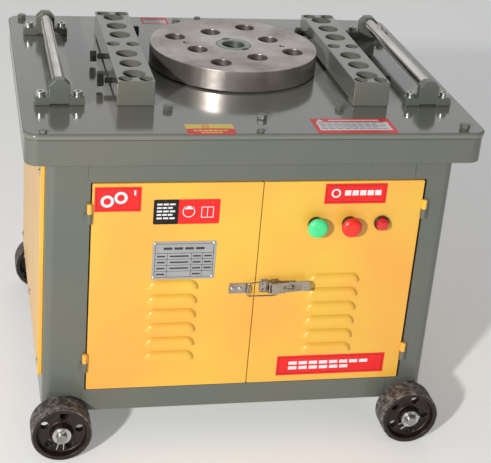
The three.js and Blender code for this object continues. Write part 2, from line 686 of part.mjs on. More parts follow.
// The belt wraps both pulleys and runs straight between their common tangents.
function makeBelt() {
  const { x, bigR, smallR, beltTop, beltLow, beltHigh } = PULLEY;
  const span = WORM.z - MOTOR.z;
  const loop = (inset) => {
    const big = bigR - inset;
    const small = smallR - inset;
    const lean = Math.asin((big - small) / span);
    const points = [];
    const arc = (r, cz, from, to, steps) => {
      for (let i = 0; i <= steps; i += 1) {
        const a = from + ((to - from) * i) / steps;
        points.push([WORM.y + r * Math.cos(a), cz + r * Math.sin(a)]);
      }
    };
    arc(big, WORM.z, -lean, Math.PI + lean, 20);
    arc(small, MOTOR.z, Math.PI + lean, 2 * Math.PI - lean, 12);
    return points;
  };
  const outer = loop(-GAP);
  const inner = loop(beltHigh);
  const rings = [[outer, -beltTop / 2], [outer, beltTop / 2], [inner, beltLow / 2], [inner, -beltLow / 2]];
  const n = outer.length;
  const vertices = rings.flatMap(([points, dx]) => points.map(([py, pz]) => [x + dx, py, pz]));
  const faces = [];
  for (let k = 0; k < 4; k += 1) {
    for (let i = 0; i < n; i += 1) {
      const [a, b] = [k * n + i, k * n + ((i + 1) % n)];
      const [c, d] = [((k + 1) % 4) * n + i, ((k + 1) % 4) * n + ((i + 1) % n)];
      faces.push([a, b, d], [a, d, c]);
    }
  }
  const g = new THREE.BufferGeometry();
  g.setAttribute('position', new THREE.BufferAttribute(new Float32Array(vertices.flat()), 3));
  g.setIndex(faces.flat());
  piece('v_belt', toSolid(g), plastic.belt());
}

function makeMotor() {
  const { y, z, r, x0, x1, shaftR, floor } = MOTOR;
  const centre = [0, y, z];
  const foot = (fx) => box(fx, fx + 45, y - 100, y + 100, floor + GAP, floor + 14);
  const housing = cut(
    join(
      bar('x', r, centre, x0 + 26, x1, 24),
      bar('x', r - 12, centre, x0 + 10, x0 + 30, 24),
      bar('x', 45, centre, x0, x0 + 12, 16),
      foot(x0 + 60),
      foot(x1 - 90),
      box(x0 + 60, x1 - 45, y - 75, y - 40, floor + GAP, z),
      box(x0 + 60, x1 - 45, y + 40, y + 75, floor + GAP, z),
      box(-60, 40, y - 45, y + 45, z + r - 20, z + r + 48),
    ),
    bar('x', shaftR + GAP, centre, x0 - 1, x1 + 1, 20),
  );
  piece('motor_housing', housing, paint.machine());

  const cap = x1 + GAP;
  const deep = FAN.coverDepth;
  let cover = cut(
    bar('x', r, centre, cap, cap + deep, 24),
    bar('x', r - 3, centre, cap - 1, cap + deep - 3, 24),
  );
  for (let i = 0; i < FAN.vents; i += 1) {
    const a = (i * 2 * Math.PI) / FAN.vents;
    const at = [0, y + 60 * Math.cos(a), z + 60 * Math.sin(a)];
    cover = cut(cover, bar('x', 16, at, cap + deep - 16, cap + deep + 4, 8));
  }
  piece('motor_fan_cover', cover, paint.machine());
  piece('motor_shaft', bar('x', shaftR, centre, PULLEY.x - 18, cap + 36, 20), metal.steel());

  let fan = bar('x', FAN.hub, centre, cap + 8, cap + 30, 20);
  for (let i = 0; i < FAN.blades; i += 1) {
    const blade = new THREE.BoxGeometry(20, 56, 3);
    blade.translate(cap + 19, 50, 0);
    blade.rotateX((i * 2 * Math.PI) / FAN.blades);
    blade.translate(0, y, z);
    fan = join(fan, toSolid(blade));
  }
  piece('motor_fan', cut(fan, bar('x', shaftR + GAP, centre, cap, cap + 40, 20)), plastic.black());
}

function makeControlBox() {
  const { x0, x1, y0, y1, top } = CONTROL_BOX;
  piece('control_box', box(x0, x1, y0, y1, MOTOR.floor + GAP, top), paint.darkGrey());
}

makeTable();
makeCabinet();
makeCovers();
makeDoors();
makeLatch();
makeControls();
makeRails();
makeRollers();
makeWheels();
makeDisc();
makeWormWheel();
makeWorm();
makeGearbox();
pulley('driven_pulley', PULLEY.bigR, WORM.z, WORM.shaftR);
pulley('motor_pulley', PULLEY.smallR, MOTOR.z, MOTOR.shaftR);
makeBelt();
makeMotor();
makeControlBox();

export default group;
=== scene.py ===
"""The looks of a floor-standing rebar bender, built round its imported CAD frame.

Shapes are drawn in millimetres: X to the operator's right, Y to the back, Z up, with the origin on the
ground under the middle of the machine. mesh_of() turns them into metres.
"""

import math

import bmesh
import bpy
from mathutils import Matrix, Vector
from mathutils.geometry import tessellate_polygon


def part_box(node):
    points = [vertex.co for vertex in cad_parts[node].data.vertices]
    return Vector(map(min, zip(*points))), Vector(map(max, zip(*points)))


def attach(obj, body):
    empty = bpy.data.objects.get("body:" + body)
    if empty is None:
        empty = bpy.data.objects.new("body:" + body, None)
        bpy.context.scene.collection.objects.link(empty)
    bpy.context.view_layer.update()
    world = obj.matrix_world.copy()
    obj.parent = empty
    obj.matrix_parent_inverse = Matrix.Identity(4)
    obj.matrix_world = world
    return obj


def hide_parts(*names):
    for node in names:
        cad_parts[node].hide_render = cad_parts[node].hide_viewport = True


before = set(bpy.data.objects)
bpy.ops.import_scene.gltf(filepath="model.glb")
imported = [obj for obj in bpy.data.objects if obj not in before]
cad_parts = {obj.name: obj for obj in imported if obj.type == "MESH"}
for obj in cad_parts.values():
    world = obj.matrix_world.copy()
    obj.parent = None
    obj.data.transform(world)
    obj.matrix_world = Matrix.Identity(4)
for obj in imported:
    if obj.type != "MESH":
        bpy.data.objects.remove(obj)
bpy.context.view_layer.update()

MM = 0.001  # metres in a millimetre
SIDES = {"left": -1, "right": 1}  # the way along X to each side
HERE = Matrix.Identity(4)


def box_mm(node):
    """Lowest and highest corner of a CAD node, in millimetres."""
    lo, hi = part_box(node)
    return Vector(lo) / MM, Vector(hi) / MM


# --- driving sizes, millimetres

TABLE_LO, TABLE_HI = box_mm("table_plate")
SKIRT_LO, SKIRT_HI = box_mm("table_skirt")
CABINET_LO, CABINET_HI = box_mm("cabinet_frame")
TOP = TABLE_HI.z  # the table's top face
TABLE_CORNER = 30
CABINET_CORNER = 18
SHEET = 3

DISC_LO, DISC_HI = box_mm("bending_disc")
DISC_CENTRE = (DISC_LO + DISC_HI) / 2
DISC_R = (DISC_HI.x - DISC_LO.x) / 2
PIN_PITCH = 88.7  # the disc's pin holes stand on a square grid
PIN_TURN = math.radians(22.7)
PIN_R = 21
SHAFT_R = 36.5
SOCKET_R = 23.5

RAIL_PIN_STEPS = (-180, -120, -60, 60, 120, 180)
RAIL_BOLT_SIDE = 20
RAIL_BOLT_ROWS = (-208, 0, 208)
RAIL_BOLT_R = 13
RAIL_SIDE_BOLT_Z = 709

DOOR_FACE = -322
DOOR_BOTTOM, DOOR_TOP = 126.5, 577
DOOR_SPANS = {"left": (-309.5, 16.7), "right": (18.3, 339.5)}
DOOR_DEPTH = 16
SEAM_X = (-318, 318)  # joints of lintel and sill with the corner posts
DOOR_GAP = {"left": 3, "right": 5}  # open seam at each hinge side
HINGE_Y = -325.3
HINGE_X = {"left": -314, "right": 344}
HINGE_SPLITS = {"upper": 516.5, "lower": 190}
HINGE_R = 5
HINGE_HALF = 20.5
LOUVRES = {"left": (-199, -96, 371), "right": (124, 231, 377)}  # first x, last x, top z
LOUVRE_COUNT = 6
LOUVRE_PITCH = 32
LOUVRE_HEIGHT = 19
LOUVRE_OUT = 7

BUTTON_Z = 487
BUTTON_X = {"start": 127, "stop": 195}
LAMP_X = 261
LATCH_Z = 348
LEVER_RISE = 4.5  # the right half of the latch is mounted higher
LEVER_TILT = 5  # degrees the lever arm hangs out of level

WHEEL_R = 60
WHEEL_INNER = 330  # distance of the wheels' inner faces from the middle
WHEEL_WIDTH = 50
SPLIT_PIN_TILT = {"left": -6, "right": -60}
WEB_HOLE_RING = 36.5
WEB_HOLE_R = 8.4
WEB_HOLE_COUNT = 5
WEB_HOLE_FIRST = {"left": 10, "right": 0}  # degrees above the horizontal, first hole


# --- outlines and shapes


def axes(origin, u, v):
    """A placement whose own X, Y and Z run along u, v and u x v from origin."""
    u, v = Vector(u), Vector(v)
    w = u.cross(v)
    return Matrix.Translation(Vector(origin)) @ Matrix((u, v, w)).transposed().to_4x4()


def at(x, y, z):
    return Matrix.Translation((x, y, z))


def facing_front(y=0):
    """Drawn on X and Z, with heights running towards the operator from y."""
    return axes((0, y, 0), (1, 0, 0), (0, 0, 1))


def facing_back():
    """Drawn on -X and Z, with heights running to the back from the middle."""
    return axes((0, 0, 0), (-1, 0, 0), (0, 0, 1))


def facing_side(way):
    """Drawn on Y and Z, with heights running from the middle to the left (-1) or right (1)."""
    return axes((0, 0, 0), (0, way, 0), (0, 0, 1))


def facing_up(x=0, y=0, z=0):
    """Drawn on X and -Y, with heights running up, from a point."""
    return axes((x, y, z), (1, 0, 0), (0, -1, 0)) @ Matrix.Diagonal((1, 1, -1, 1))


def softened(points, steps=5, closed=True):
    """An outline whose corners (x, y, radius) become arcs. Points without a radius stay sharp."""
    made = []
    count = len(points)
    for i, point in enumerate(points):
        here = Vector(point[:2])
        radius = point[2] if len(point) > 2 else 0
        if radius <= 0 or (not closed and i in (0, count - 1)):
            made.append((here.x, here.y))
            continue
        back = (Vector(points[i - 1][:2]) - here).normalized()
        on = (Vector(points[(i + 1) % count][:2]) - here).normalized()
        half = back.angle(on) / 2
        if half > math.pi / 2 - 0.01:
            made.append((here.x, here.y))
            continue
        centre = here + (back + on).normalized() * (radius / math.sin(half))
        start = here + back * (radius / math.tan(half)) - centre
        end = here + on * (radius / math.tan(half)) - centre
        first = math.atan2(start.y, start.x)
        sweep = (math.atan2(end.y, end.x) - first + math.pi) % math.tau - math.pi
        for k in range(steps + 1):
            a = first + sweep * k / steps
            made.append((centre.x + radius * math.cos(a), centre.y + radius * math.sin(a)))
    return made


def mirrored(points, about=0.0):
    """The points, then the same ones mirrored at a height and in reverse."""
    return [*points, *((p[0], 2 * about - p[1], *p[2:]) for p in reversed(points))]


def rectangle(x0, x1, y0, y1, r=0, steps=6):
    return softened([(x0, y0, r), (x1, y0, r), (x1, y1, r), (x0, y1, r)], steps)


def circle(x, y, r, sides=48, turn=0.0):
    return [
        (x + r * math.cos(turn + math.tau * k / sides), y + r * math.sin(turn + math.tau * k / sides))
        for k in range(sides)
    ]


def hexagon(x, y, across, turn=0.0):
    return circle(x, y, across / math.sqrt(3), 6, turn)


def area(outline):
    return 0.5 * sum(
        outline[i - 1][0] * outline[i][1] - outline[i][0] * outline[i - 1][1] for i in range(len(outline))
    )


def shrunk(outline, by):
    """The outline moved by that much to the left of its own direction."""
    made = []
    count = len(outline)
    for i in range(count):
        a, b, c = (Vector(outline[j % count]) for j in (i - 1, i, i + 1))
        before, after = (b - a).normalized(), (c - b).normalized()
        left, next_left = Vector((-before.y, before.x)), Vector((-after.y, after.x))
        shift = (left + next_left) / max(0.3, 1 + left.dot(next_left))
        made.append(tuple(b + shift * by))
    return made


def between(rows, around=True):
    """Faces between rows of vertex numbers lying side by side. around closes every row."""
    faces = []
    for low, high in zip(rows, rows[1:]):
        for i in range(0 if around else 1, len(low)):
            corners = list(dict.fromkeys((low[i - 1], low[i], high[i], high[i - 1])))
            if len(corners) > 2:
                faces.append(corners)
    return faces


class Shape:
    """Vertices in millimetres and faces, from one or more closed forms. tag is the new faces' finish."""

    def __init__(self):
        self.verts, self.faces, self.tags = [], [], []
        self.tag = 0

    def add(self, verts, faces, place=HERE):
        base = len(self.verts)
        self.verts += [place @ Vector(v) for v in verts]
        self.faces += [[base + i for i in f] for f in faces]
        self.tags += [self.tag] * len(faces)
        return self

    def plate(self, outline, w0, w1, holes=(), bevel=0.6, steps=3, place=HERE):
        """An outline with holes, from height w0 to w1, with rounded edges."""
        loops = [outline if area(outline) > 0 else outline[::-1]]
        loops += [h[::-1] if area(h) > 0 else h for h in holes]
        arc = [math.pi / 2 * k / steps for k in range(steps + 1)]
        rings = [(bevel * (1 - math.sin(a)), w0 + bevel * (1 - math.cos(a))) for a in arc]
        rings += [(bevel * (1 - math.cos(a)), w1 - bevel * (1 - math.sin(a))) for a in arc]
        if bevel <= 0:
            rings = [(0, w0), (0, w1)]
        verts, faces, flat, low, high = [], [], [], [], []
        for loop in loops:
            rows = []
            for inset, w in rings:
                rows.append(range(len(verts), len(verts) + len(loop)))
                verts += [(x, y, w) for x, y in (shrunk(loop, inset) if inset else loop)]
            faces += between(rows)
            flat.append([Vector((*verts[i][:2], 0)) for i in rows[0]])
            low += rows[0]
            high += rows[-1]
        for corners in tessellate_polygon(flat):
            faces += [[low[i] for i in corners], [high[i] for i in corners]]
        return self.add(verts, faces, place)

    def lathe(self, profile, place=HERE, sides=64):
        """A profile of (radius, height) points turned about the placement's own Z."""
        ring_shaped = profile[0] == profile[-1]
        points = profile[:-1] if ring_shaped else profile
        verts, rows = [], []
        for r, h in points:
            if r < 1e-6:
                rows.append([len(verts)] * sides)
                verts.append((0, 0, h))
                continue
            rows.append(range(len(verts), len(verts) + sides))
            verts += [(x, y, h) for x, y in circle(0, 0, r, sides)]
        if ring_shaped:
            rows.append(rows[0])
        return self.add(verts, between(rows), place)

    def box(self, lo, hi, bevel=1.0, steps=3, place=HERE):
        bm = bmesh.new()
        size = Vector(hi) - Vector(lo)
        middle = Matrix.Translation((Vector(lo) + Vector(hi)) / 2) @ Matrix.Diagonal((*size, 1))
        bmesh.ops.create_cube(bm, size=1, matrix=middle)
        if bevel > 0:
            bmesh.ops.bevel(
                bm, geom=bm.edges[:], offset=bevel, segments=steps, profile=0.5, affect="EDGES"
            )
        bm.verts.index_update()
        verts = [v.co.copy() for v in bm.verts]
        faces = [[v.index for v in f.verts] for f in bm.faces]
        bm.free()
        return self.add(verts, faces, place)

    def tube(self, path, r, closed=False, sides=14):
        """A round bar along a path of points."""
        points = [Vector(p) for p in path]
        count = len(points)
        rings, across = [], None
        for i, point in enumerate(points):
            before = points[i - 1] if closed or i else point
            after = points[(i + 1) % count] if closed or i < count - 1 else point
            along = (after - before).normalized()
            if across is None:
                across = along.orthogonal().normalized()
            across = (across - along * across.dot(along)).normalized()
            other = along.cross(across)
            turns = (math.tau * k / sides for k in range(sides))
            rings.append([point + r * (across * math.cos(a) + other * math.sin(a)) for a in turns])
        verts = [v for ring in rings for v in ring]
        rows = [range(i * sides, (i + 1) * sides) for i in range(count)]
        faces = between(rows + rows[:1]) if closed else [*between(rows), rows[0], rows[-1]]
        return self.add(verts, faces)


def rounded_path(points, radius, steps=6):
    """Points of a 3-D path with its inner corners turned into arcs."""
    made = [Vector(points[0])]
    for before, here, after in zip(points, points[1:], points[2:]):
        here = Vector(here)
        back, on = (Vector(before) - here).normalized(), (Vector(after) - here).normalized()
        half = back.angle(on) / 2
        reach = radius / math.tan(half)
        centre = here + (back + on).normalized() * (radius / math.sin(half))
        start, end = here + back * reach - centre, here + on * reach - centre
        for k in range(steps + 1):
            made.append(centre + start.slerp(end, k / steps))
    return made + [Vector(points[-1])]


def linked(name, data):
    obj = bpy.data.objects.new(name, data)
    bpy.context.scene.collection.objects.link(obj)
    return obj


def mesh_of(name, shape, finishes=()):
    mesh = bpy.data.meshes.new(name)
    mesh.from_pydata([v * MM for v in shape.verts], [], shape.faces)
    for finish in finishes:
        mesh.materials.append(finish)
    mesh.polygons.foreach_set("material_index", shape.tags)
    bm = bmesh.new()
    bm.from_mesh(mesh)
    bmesh.ops.recalc_face_normals(bm, faces=bm.faces)
    bm.to_mesh(mesh)
    bm.free()
    return mesh


def carved(mesh, cutter):
    """The mesh with the cutter's forms taken out of it."""
    body, tool = linked("carved", mesh), linked("cutter", mesh_of("cutter", cutter))
    step = body.modifiers.new("cut", "BOOLEAN")
    step.operation, step.solver, step.object = "DIFFERENCE", "MANIFOLD", tool
    evaluated = body.evaluated_get(bpy.context.evaluated_depsgraph_get())
    made = bpy.data.meshes.new_from_object(evaluated)
    for obj in (body, tool):
        bpy.data.objects.remove(obj)
    return made


def make(name, shape, finishes, body="frame", replaces=(), cuts=(), angle=38, slot=None):
    """Turns a shape into a piece on a CAD body. finishes are its materials, in the order of its tags."""
    finishes = finishes if isinstance(finishes, list) else [finishes]
    mesh = mesh_of(name, shape, finishes)
    for cutter in cuts:
        mesh = carved(mesh, cutter)
    mesh.name = name
    mesh.shade_smooth()
    mesh.set_sharp_from_angle(angle=math.radians(angle))
    obj = linked(name, mesh)
    weighted = obj.modifiers.new("weighted", "WEIGHTED_NORMAL")
    weighted.keep_sharp = True
    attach(obj, body)
    slot = slot or SLOTS[finishes[0]]
    if replaces:
        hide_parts(*replaces)
    return obj


# --- materials


def rgb(red, green, blue):
    """A colour given as 0-255 display values, as the shader wants it."""
    made = []
    for c in (red / 255, green / 255, blue / 255):
        made.append(c / 12.92 if c <= 0.04045 else ((c + 0.055) / 1.055) ** 2.4)
    return (*made, 1.0)


def shade(colour, by):
    return (*(min(1.0, c * by) for c in colour[:3]), 1.0)


class Finish:
    """A Principled material and the nodes that drive its colour, roughness and bump."""

    def __init__(self, name, **sockets):
        self.material = bpy.data.materials.new(name)
        self.material.use_nodes = True
        self.tree = self.material.node_tree
        self.shader = next(n for n in self.tree.nodes if n.type == "BSDF_PRINCIPLED")
        for label, value in sockets.items():
            self.shader.inputs[label.replace("_", " ")].default_value = value
        self.place = self.node("ShaderNodeTexCoord").outputs["Object"]
        self.last_bump = None
        self.tone = None

    def node(self, kind, inputs=(), **settings):
        made = self.tree.nodes.new(kind)
        for key, value in settings.items():
            setattr(made, key, value)
        for key, value in dict(inputs).items():
            self.feed(made.inputs[key], value)
        return made

    def feed(self, socket, value):
        if isinstance(value, bpy.types.NodeSocket):
            self.tree.links.new(value, socket)
        else:
            socket.default_value = value

    def stretched(self, x, y, z):
        made = self.node("ShaderNodeMapping", {"Vector": self.place, "Scale": (x, y, z)})
        return made.outputs["Vector"]

    def noise(self, scale, detail=3.0, place=None, rough=0.55):
        inputs = {"Vector": place or self.place, "Scale": scale, "Detail": detail, "Roughness": rough}
        return self.node("ShaderNodeTexNoise", inputs).outputs["Fac"]

    def ramp(self, fac, low, high):
        """Runs from 0 at low to 1 at high, and stays level beyond them."""
        made = self.node("ShaderNodeMapRange", {"Value": fac, "From Min": low, "From Max": high})
        return made.outputs["Result"]

    def math(self, operation, a, b=0.0, clamp=False):
        made = self.node("ShaderNodeMath", {0: a, 1: b}, operation=operation, use_clamp=clamp)
        return made.outputs[0]

    def times(self, a, b):
        return self.math("MULTIPLY", a, b)

    def plus(self, a, b, clamp=False):
        return self.math("ADD", a, b, clamp)

    def uneven(self, mask, amount, base, clamp=False):
        """The base value, raised by that amount where the mask is."""
        return self.plus(self.times(mask, amount), base, clamp)

    def layer(self, mask, amount, colour):
        """Lays a colour over the tone made so far, where the mask is, by that amount."""
        self.tone = self.blend(self.times(mask, amount), self.tone, colour)

    def blend(self, fac, a, b):
        made = self.node("ShaderNodeMix", {0: fac, 6: a, 7: b}, data_type="RGBA")
        return made.outputs[2]

    def edges(self, radius):
        """1 on edges sharper than the radius, in millimetres, and 0 on flat stretches."""
        soft = self.node("ShaderNodeBevel", {"Radius": radius * MM}, samples=6).outputs["Normal"]
        true = self.node("ShaderNodeNewGeometry").outputs["Normal"]
        dot = self.node("ShaderNodeVectorMath", {0: soft, 1: true}, operation="DOT_PRODUCT")
        return self.ramp(dot.outputs["Value"], 0.985, 0.80)

    def corners(self, distance):
        """1 deep in corners and under ledges, 0 in the open: the mask for painted shade."""
        made = self.node("ShaderNodeAmbientOcclusion", {"Distance": distance * MM}, samples=6)
        return self.ramp(made.outputs["AO"], 0.85, 0.25)

    def bump(self, height, strength, distance):
        inputs = {"Height": height, "Strength": strength, "Distance": distance * MM}
        if self.last_bump is not None:
            inputs["Normal"] = self.last_bump
        self.last_bump = self.node("ShaderNodeBump", inputs).outputs["Normal"]

    def done(self, roughness):
        self.feed(self.shader.inputs["Base Color"], self.tone)
        self.feed(self.shader.inputs["Roughness"], roughness)
        if self.last_bump is not None:
            self.feed(self.shader.inputs["Normal"], self.last_bump)
        return self.material


def paint(name, colour, warm, worn, roughness=0.26, coat=0.5, grime_and_shade=0.35, wear=0.5):
    """Semi-gloss machine paint: slow colour drift, orange peel, chipped edges and painted shade in the
    corners.
    """
    f = Finish(name, Coat_Weight=coat, Coat_Roughness=0.09, Specular_IOR_Level=0.5)
    drift = f.ramp(f.noise(5.5, 2), 0.35, 0.68)
    f.tone = f.blend(drift, colour, warm)
    speck = f.ramp(f.noise(900, 2), 0.62, 0.80)
    f.layer(speck, 0.10, shade(colour, 0.62))
    # painted shade: a brown-grey darkening deep in corners and under ledges, broken into patches by noise;
    # it also roughens the paint there
    corner_shade = f.times(f.corners(16), f.ramp(f.noise(38, 4), 0.30, 0.62))
    f.layer(corner_shade, grime_and_shade, rgb(70, 62, 52))
    chips = f.times(f.edges(1.4), f.ramp(f.noise(210, 4), 0.50, 0.62))
    f.layer(chips, wear, worn)
    scratch = f.ramp(f.noise(60, 3, f.stretched(1, 1, 9)), 0.60, 0.78)
    rough = f.uneven(f.noise(26, 3), 0.10, roughness - 0.05)
    rough = f.plus(rough, f.times(f.plus(scratch, corner_shade), 0.10), True)
    f.bump(f.noise(240, 2), 0.10, 0.35)
    f.bump(f.noise(9, 2), 0.10, 1.4)
    return f.done(rough)


def metal(name, colour, dark, roughness=0.3, grain=(1, 1, 30), scale=60, stain=0.4, level=1.0, streak_and_reflection=0.22):
    """Bare or plated metal: fine grain along one way, stains, brighter edges and painted shade in corners;
    set strong, the grain streaks are painted reflection streaks.
    """
    f = Finish(name, Metallic=level)
    fine = f.noise(scale, 4, f.stretched(*grain))
    stains = f.ramp(f.noise(22, 4), 0.42, 0.72)
    f.tone = colour
    f.layer(stains, stain, dark)
    # grain streaks in the darker tone; at the chrome roller's strong setting they are painted reflection
    # streaks along the bar
    f.layer(f.ramp(fine, 0.40, 0.70), streak_and_reflection, shade(dark, 0.85))
    f.layer(f.edges(0.8), 0.5, shade(colour, 1.35))
    # painted shade: darker tone deep in corners and bores
    grime_and_shade = f.corners(7)
    f.layer(grime_and_shade, 0.45, shade(dark, 0.5))
    rough = f.uneven(f.plus(fine, stains), 0.12, roughness - 0.08)
    f.bump(fine, 0.10, 0.12)
    return f.done(f.plus(rough, f.times(grime_and_shade, 0.2), True))


def turned_steel(name, colour, dark, centre, roughness=0.33):
    """Steel faced on a lathe about a standing axis: fine rings, smeared rust-brown film, scratches."""
    f = Finish(name, Metallic=0.92)
    centre = tuple(c * MM for c in centre)
    offset = f.node("ShaderNodeVectorMath", {0: f.place, 1: centre}, operation="SUBTRACT")
    split = f.node("ShaderNodeSeparateXYZ", {0: offset.outputs[0]})
    square = [f.times(split.outputs[i], split.outputs[i]) for i in (0, 1)]
    radius = f.math("SQRT", f.plus(*square))
    polar = f.node("ShaderNodeCombineXYZ", {0: f.times(radius, 40.0), 2: split.outputs[2]})
    rings = f.noise(34, 4, polar.outputs[0], 0.7)
    film = f.ramp(f.noise(7, 4, rough=0.62), 0.36, 0.66)
    smear = f.ramp(f.noise(16, 5, f.stretched(1.0, 2.6, 1.0), 0.65), 0.42, 0.70)
    f.tone = f.blend(film, colour, dark)
    f.layer(smear, 0.35, shade(colour, 1.25))
    f.layer(f.ramp(rings, 0.35, 0.70), 0.28, shade(dark, 0.72))
    scratch = f.ramp(f.noise(30, 2, f.stretched(14, 1, 1)), 0.70, 0.74)
    f.layer(scratch, 0.3, shade(colour, 1.5))
    f.layer(f.edges(1.5), 0.6, shade(colour, 1.6))
    # painted shade: darker tone deep in corners, bores and the shaft socket
    f.layer(f.corners(4), 0.3, shade(dark, 0.5))
    rough = f.uneven(f.plus(film, rings), 0.11, roughness - 0.05)
    f.bump(rings, 0.16, 0.15)
    f.bump(f.noise(14, 3), 0.05, 0.8)
    return f.done(rough)


def cast(name, colour, dust, roughness=0.5, pits=1.0, grime_and_shade=0.7, metallic=0.25, grain=120, patches=24):
    """Cast or moulded surface: pitted skin, dust lying in patches and rubbed edges."""
    f = Finish(name, Metallic=metallic, Specular_IOR_Level=0.4)
    patch = f.ramp(f.noise(patches, 5, rough=0.65), 0.45, 0.66)
    f.tone = colour
    f.layer(patch, grime_and_shade, dust)
    speck = f.ramp(f.noise(480, 3), 0.60, 0.70)
    f.layer(speck, 0.5, shade(dust, 1.6))
    f.layer(f.edges(1.6), 0.45, shade(dust, 1.25))
    # painted shade: darker tone deep in corners and recesses
    f.layer(f.corners(12), 0.5, shade(colour, 0.4))
    rough = f.uneven(patch, 0.22, roughness - 0.06, True)
    f.bump(f.noise(grain, 4), 0.22 * pits, 0.6)
    f.bump(f.noise(grain * 5, 2), 0.12 * pits, 0.2)
    return f.done(rough)


def plastic(name, colour, roughness=0.25, coat=0.3, glow=0.0):
    """Moulded plastic: faint mottling, fine moulded texture, painted shade in recesses and rubbed rims."""
    f = Finish(name, Coat_Weight=coat, Coat_Roughness=0.08, Specular_IOR_Level=0.5)
    f.tone = f.blend(f.ramp(f.noise(60, 3), 0.35, 0.70), colour, shade(colour, 0.86))
    f.layer(f.edges(0.8), 0.25, shade(colour, 1.3))
    # painted shade: darker tone deep in recesses
    f.layer(f.corners(5), 0.35, shade(colour, 0.45))
    rough = f.uneven(f.noise(140, 3), 0.14, roughness - 0.05)
    f.bump(f.noise(520, 2), 0.06, 0.15)
    if glow:
        f.feed(f.shader.inputs["Emission Color"], colour)
        f.shader.inputs["Emission Strength"].default_value = glow
    return f.done(rough)


def print_film(name, colour, roughness=0.30):
    """Printed vinyl: slight fading, fine dust and a faint stipple."""
    f = Finish(name, Coat_Weight=0.1, Coat_Roughness=0.2, Specular_IOR_Level=0.3)
    f.tone = f.blend(f.ramp(f.noise(14, 3), 0.35, 0.70), colour, shade(colour, 0.90))
    f.layer(f.ramp(f.noise(420, 3), 0.60, 0.72), 0.12, rgb(205, 196, 180))
    rough = f.uneven(f.noise(90, 3), 0.12, roughness - 0.05)
    f.bump(f.noise(600, 2), 0.05, 0.08)
    return f.done(rough)


GREY = paint("grey_machine_paint", rgb(94, 101, 93), rgb(101, 102, 93), rgb(168, 170, 164),
             roughness=0.30, coat=0.30)
TABLE_GREY = paint("table_gloss_paint", rgb(108, 112, 104), rgb(114, 112, 104), rgb(165, 168, 160),
                   roughness=0.14, coat=0.7, grime_and_shade=0.25)
YELLOW = paint("yellow_machine_paint", rgb(234, 187, 70), rgb(238, 172, 70), rgb(252, 226, 150),
               roughness=0.34, coat=0.18, grime_and_shade=0.25, wear=0.4)
DARK_GREY = paint("dark_interior_paint", rgb(78, 82, 76), rgb(84, 82, 74), rgb(140, 142, 136),
                  roughness=0.4, coat=0.2, grime_and_shade=0.6)
GREEN_PAINT = paint("drive_casting_paint", rgb(70, 98, 82), rgb(64, 88, 76), rgb(150, 158, 150),
                    roughness=0.38, coat=0.3, grime_and_shade=0.7)
DISC_STEEL = turned_steel("turned_disc_steel", rgb(206, 200, 196), rgb(160, 148, 141), DISC_CENTRE, 0.28)
SHAFT_STEEL = turned_steel("turned_shaft_steel", rgb(176, 182, 174), rgb(128, 138, 128), DISC_CENTRE, 0.36)
BARE_STEEL = metal("ground_steel", rgb(172, 172, 168), rgb(112, 106, 98), roughness=0.32)
# chrome roller: its strong dark streaks along the bar are painted reflection streaks, standing in for the
# surroundings mirrored in the plating
CHROME = metal("roller_chrome_plate", rgb(238, 236, 232), rgb(164, 150, 132), roughness=0.10,
               grain=(1, 0.02, 1), scale=130, stain=0.3, streak_and_reflection=0.75)
ZINC = metal("zinc_plated_steel", rgb(216, 216, 212), rgb(130, 128, 122), roughness=0.30, stain=0.3)
STAINLESS = metal("latch_stainless", rgb(188, 178, 166), rgb(104, 92, 80), roughness=0.22,
                  grain=(0.1, 1, 1), scale=420, stain=0.55)
ALUMINIUM = metal("nameplate_aluminium", rgb(186, 188, 190), rgb(150, 150, 152), roughness=0.36,
                  grain=(0.05, 1, 1), scale=900, stain=0.2, level=0.75)
BLACK_STEEL = cast("blackened_steel", rgb(34, 35, 35), rgb(84, 84, 82), roughness=0.42, pits=0.4, grime_and_shade=0.4)
WHEEL_IRON = cast("painted_wheel_iron", rgb(28, 19, 15), rgb(74, 60, 50), roughness=0.36, grime_and_shade=0.18,
                  metallic=0.0, grain=90, patches=60)
TREAD_IRON = cast("worn_tread_iron", rgb(62, 58, 56), rgb(152, 145, 139), roughness=0.7, pits=2.4,
                  grime_and_shade=0.8, metallic=0.1, grain=70, patches=85)
BRONZE = metal("gear_bronze_cast", rgb(176, 138, 78), rgb(112, 84, 48), roughness=0.34, stain=0.5)
BLACK_PLASTIC = plastic("black_moulding", rgb(34, 34, 36), 0.36, 0.15)
GREEN_PLASTIC = plastic("green_push_button", rgb(72, 228, 146), 0.34, 0.2)
RED_PLASTIC = plastic("red_push_button", rgb(238, 44, 30), 0.34, 0.2)
LAMP_RED = plastic("red_lamp_lens", rgb(196, 16, 22), 0.12, 0.8, glow=0.25)
RUBBER = cast("belt_rubber_moulded", rgb(30, 30, 31), rgb(70, 68, 66), roughness=0.7, pits=0.6,
              grime_and_shade=0.4, metallic=0.0)
PRINT_RED = print_film("print_red", rgb(238, 34, 34))
PRINT_DARK_RED = print_film("print_dark_red", rgb(120, 14, 18))
PRINT_YELLOW = print_film("print_yellow", rgb(240, 214, 84))
PRINT_WHITE = print_film("print_white", rgb(232, 232, 236))
PRINT_BLACK = print_film("print_black", rgb(14, 11, 11))
PRINT_GREY = print_film("print_grey", rgb(104, 106, 112))
PLATE_INK = print_film("nameplate_ink", rgb(58, 58, 62))
PRINT = [PRINT_RED, PRINT_DARK_RED, PRINT_YELLOW, PRINT_WHITE, PRINT_BLACK, PRINT_GREY]
RED, DARK_RED, GOLD, WHITE, BLACK, MID = range(6)

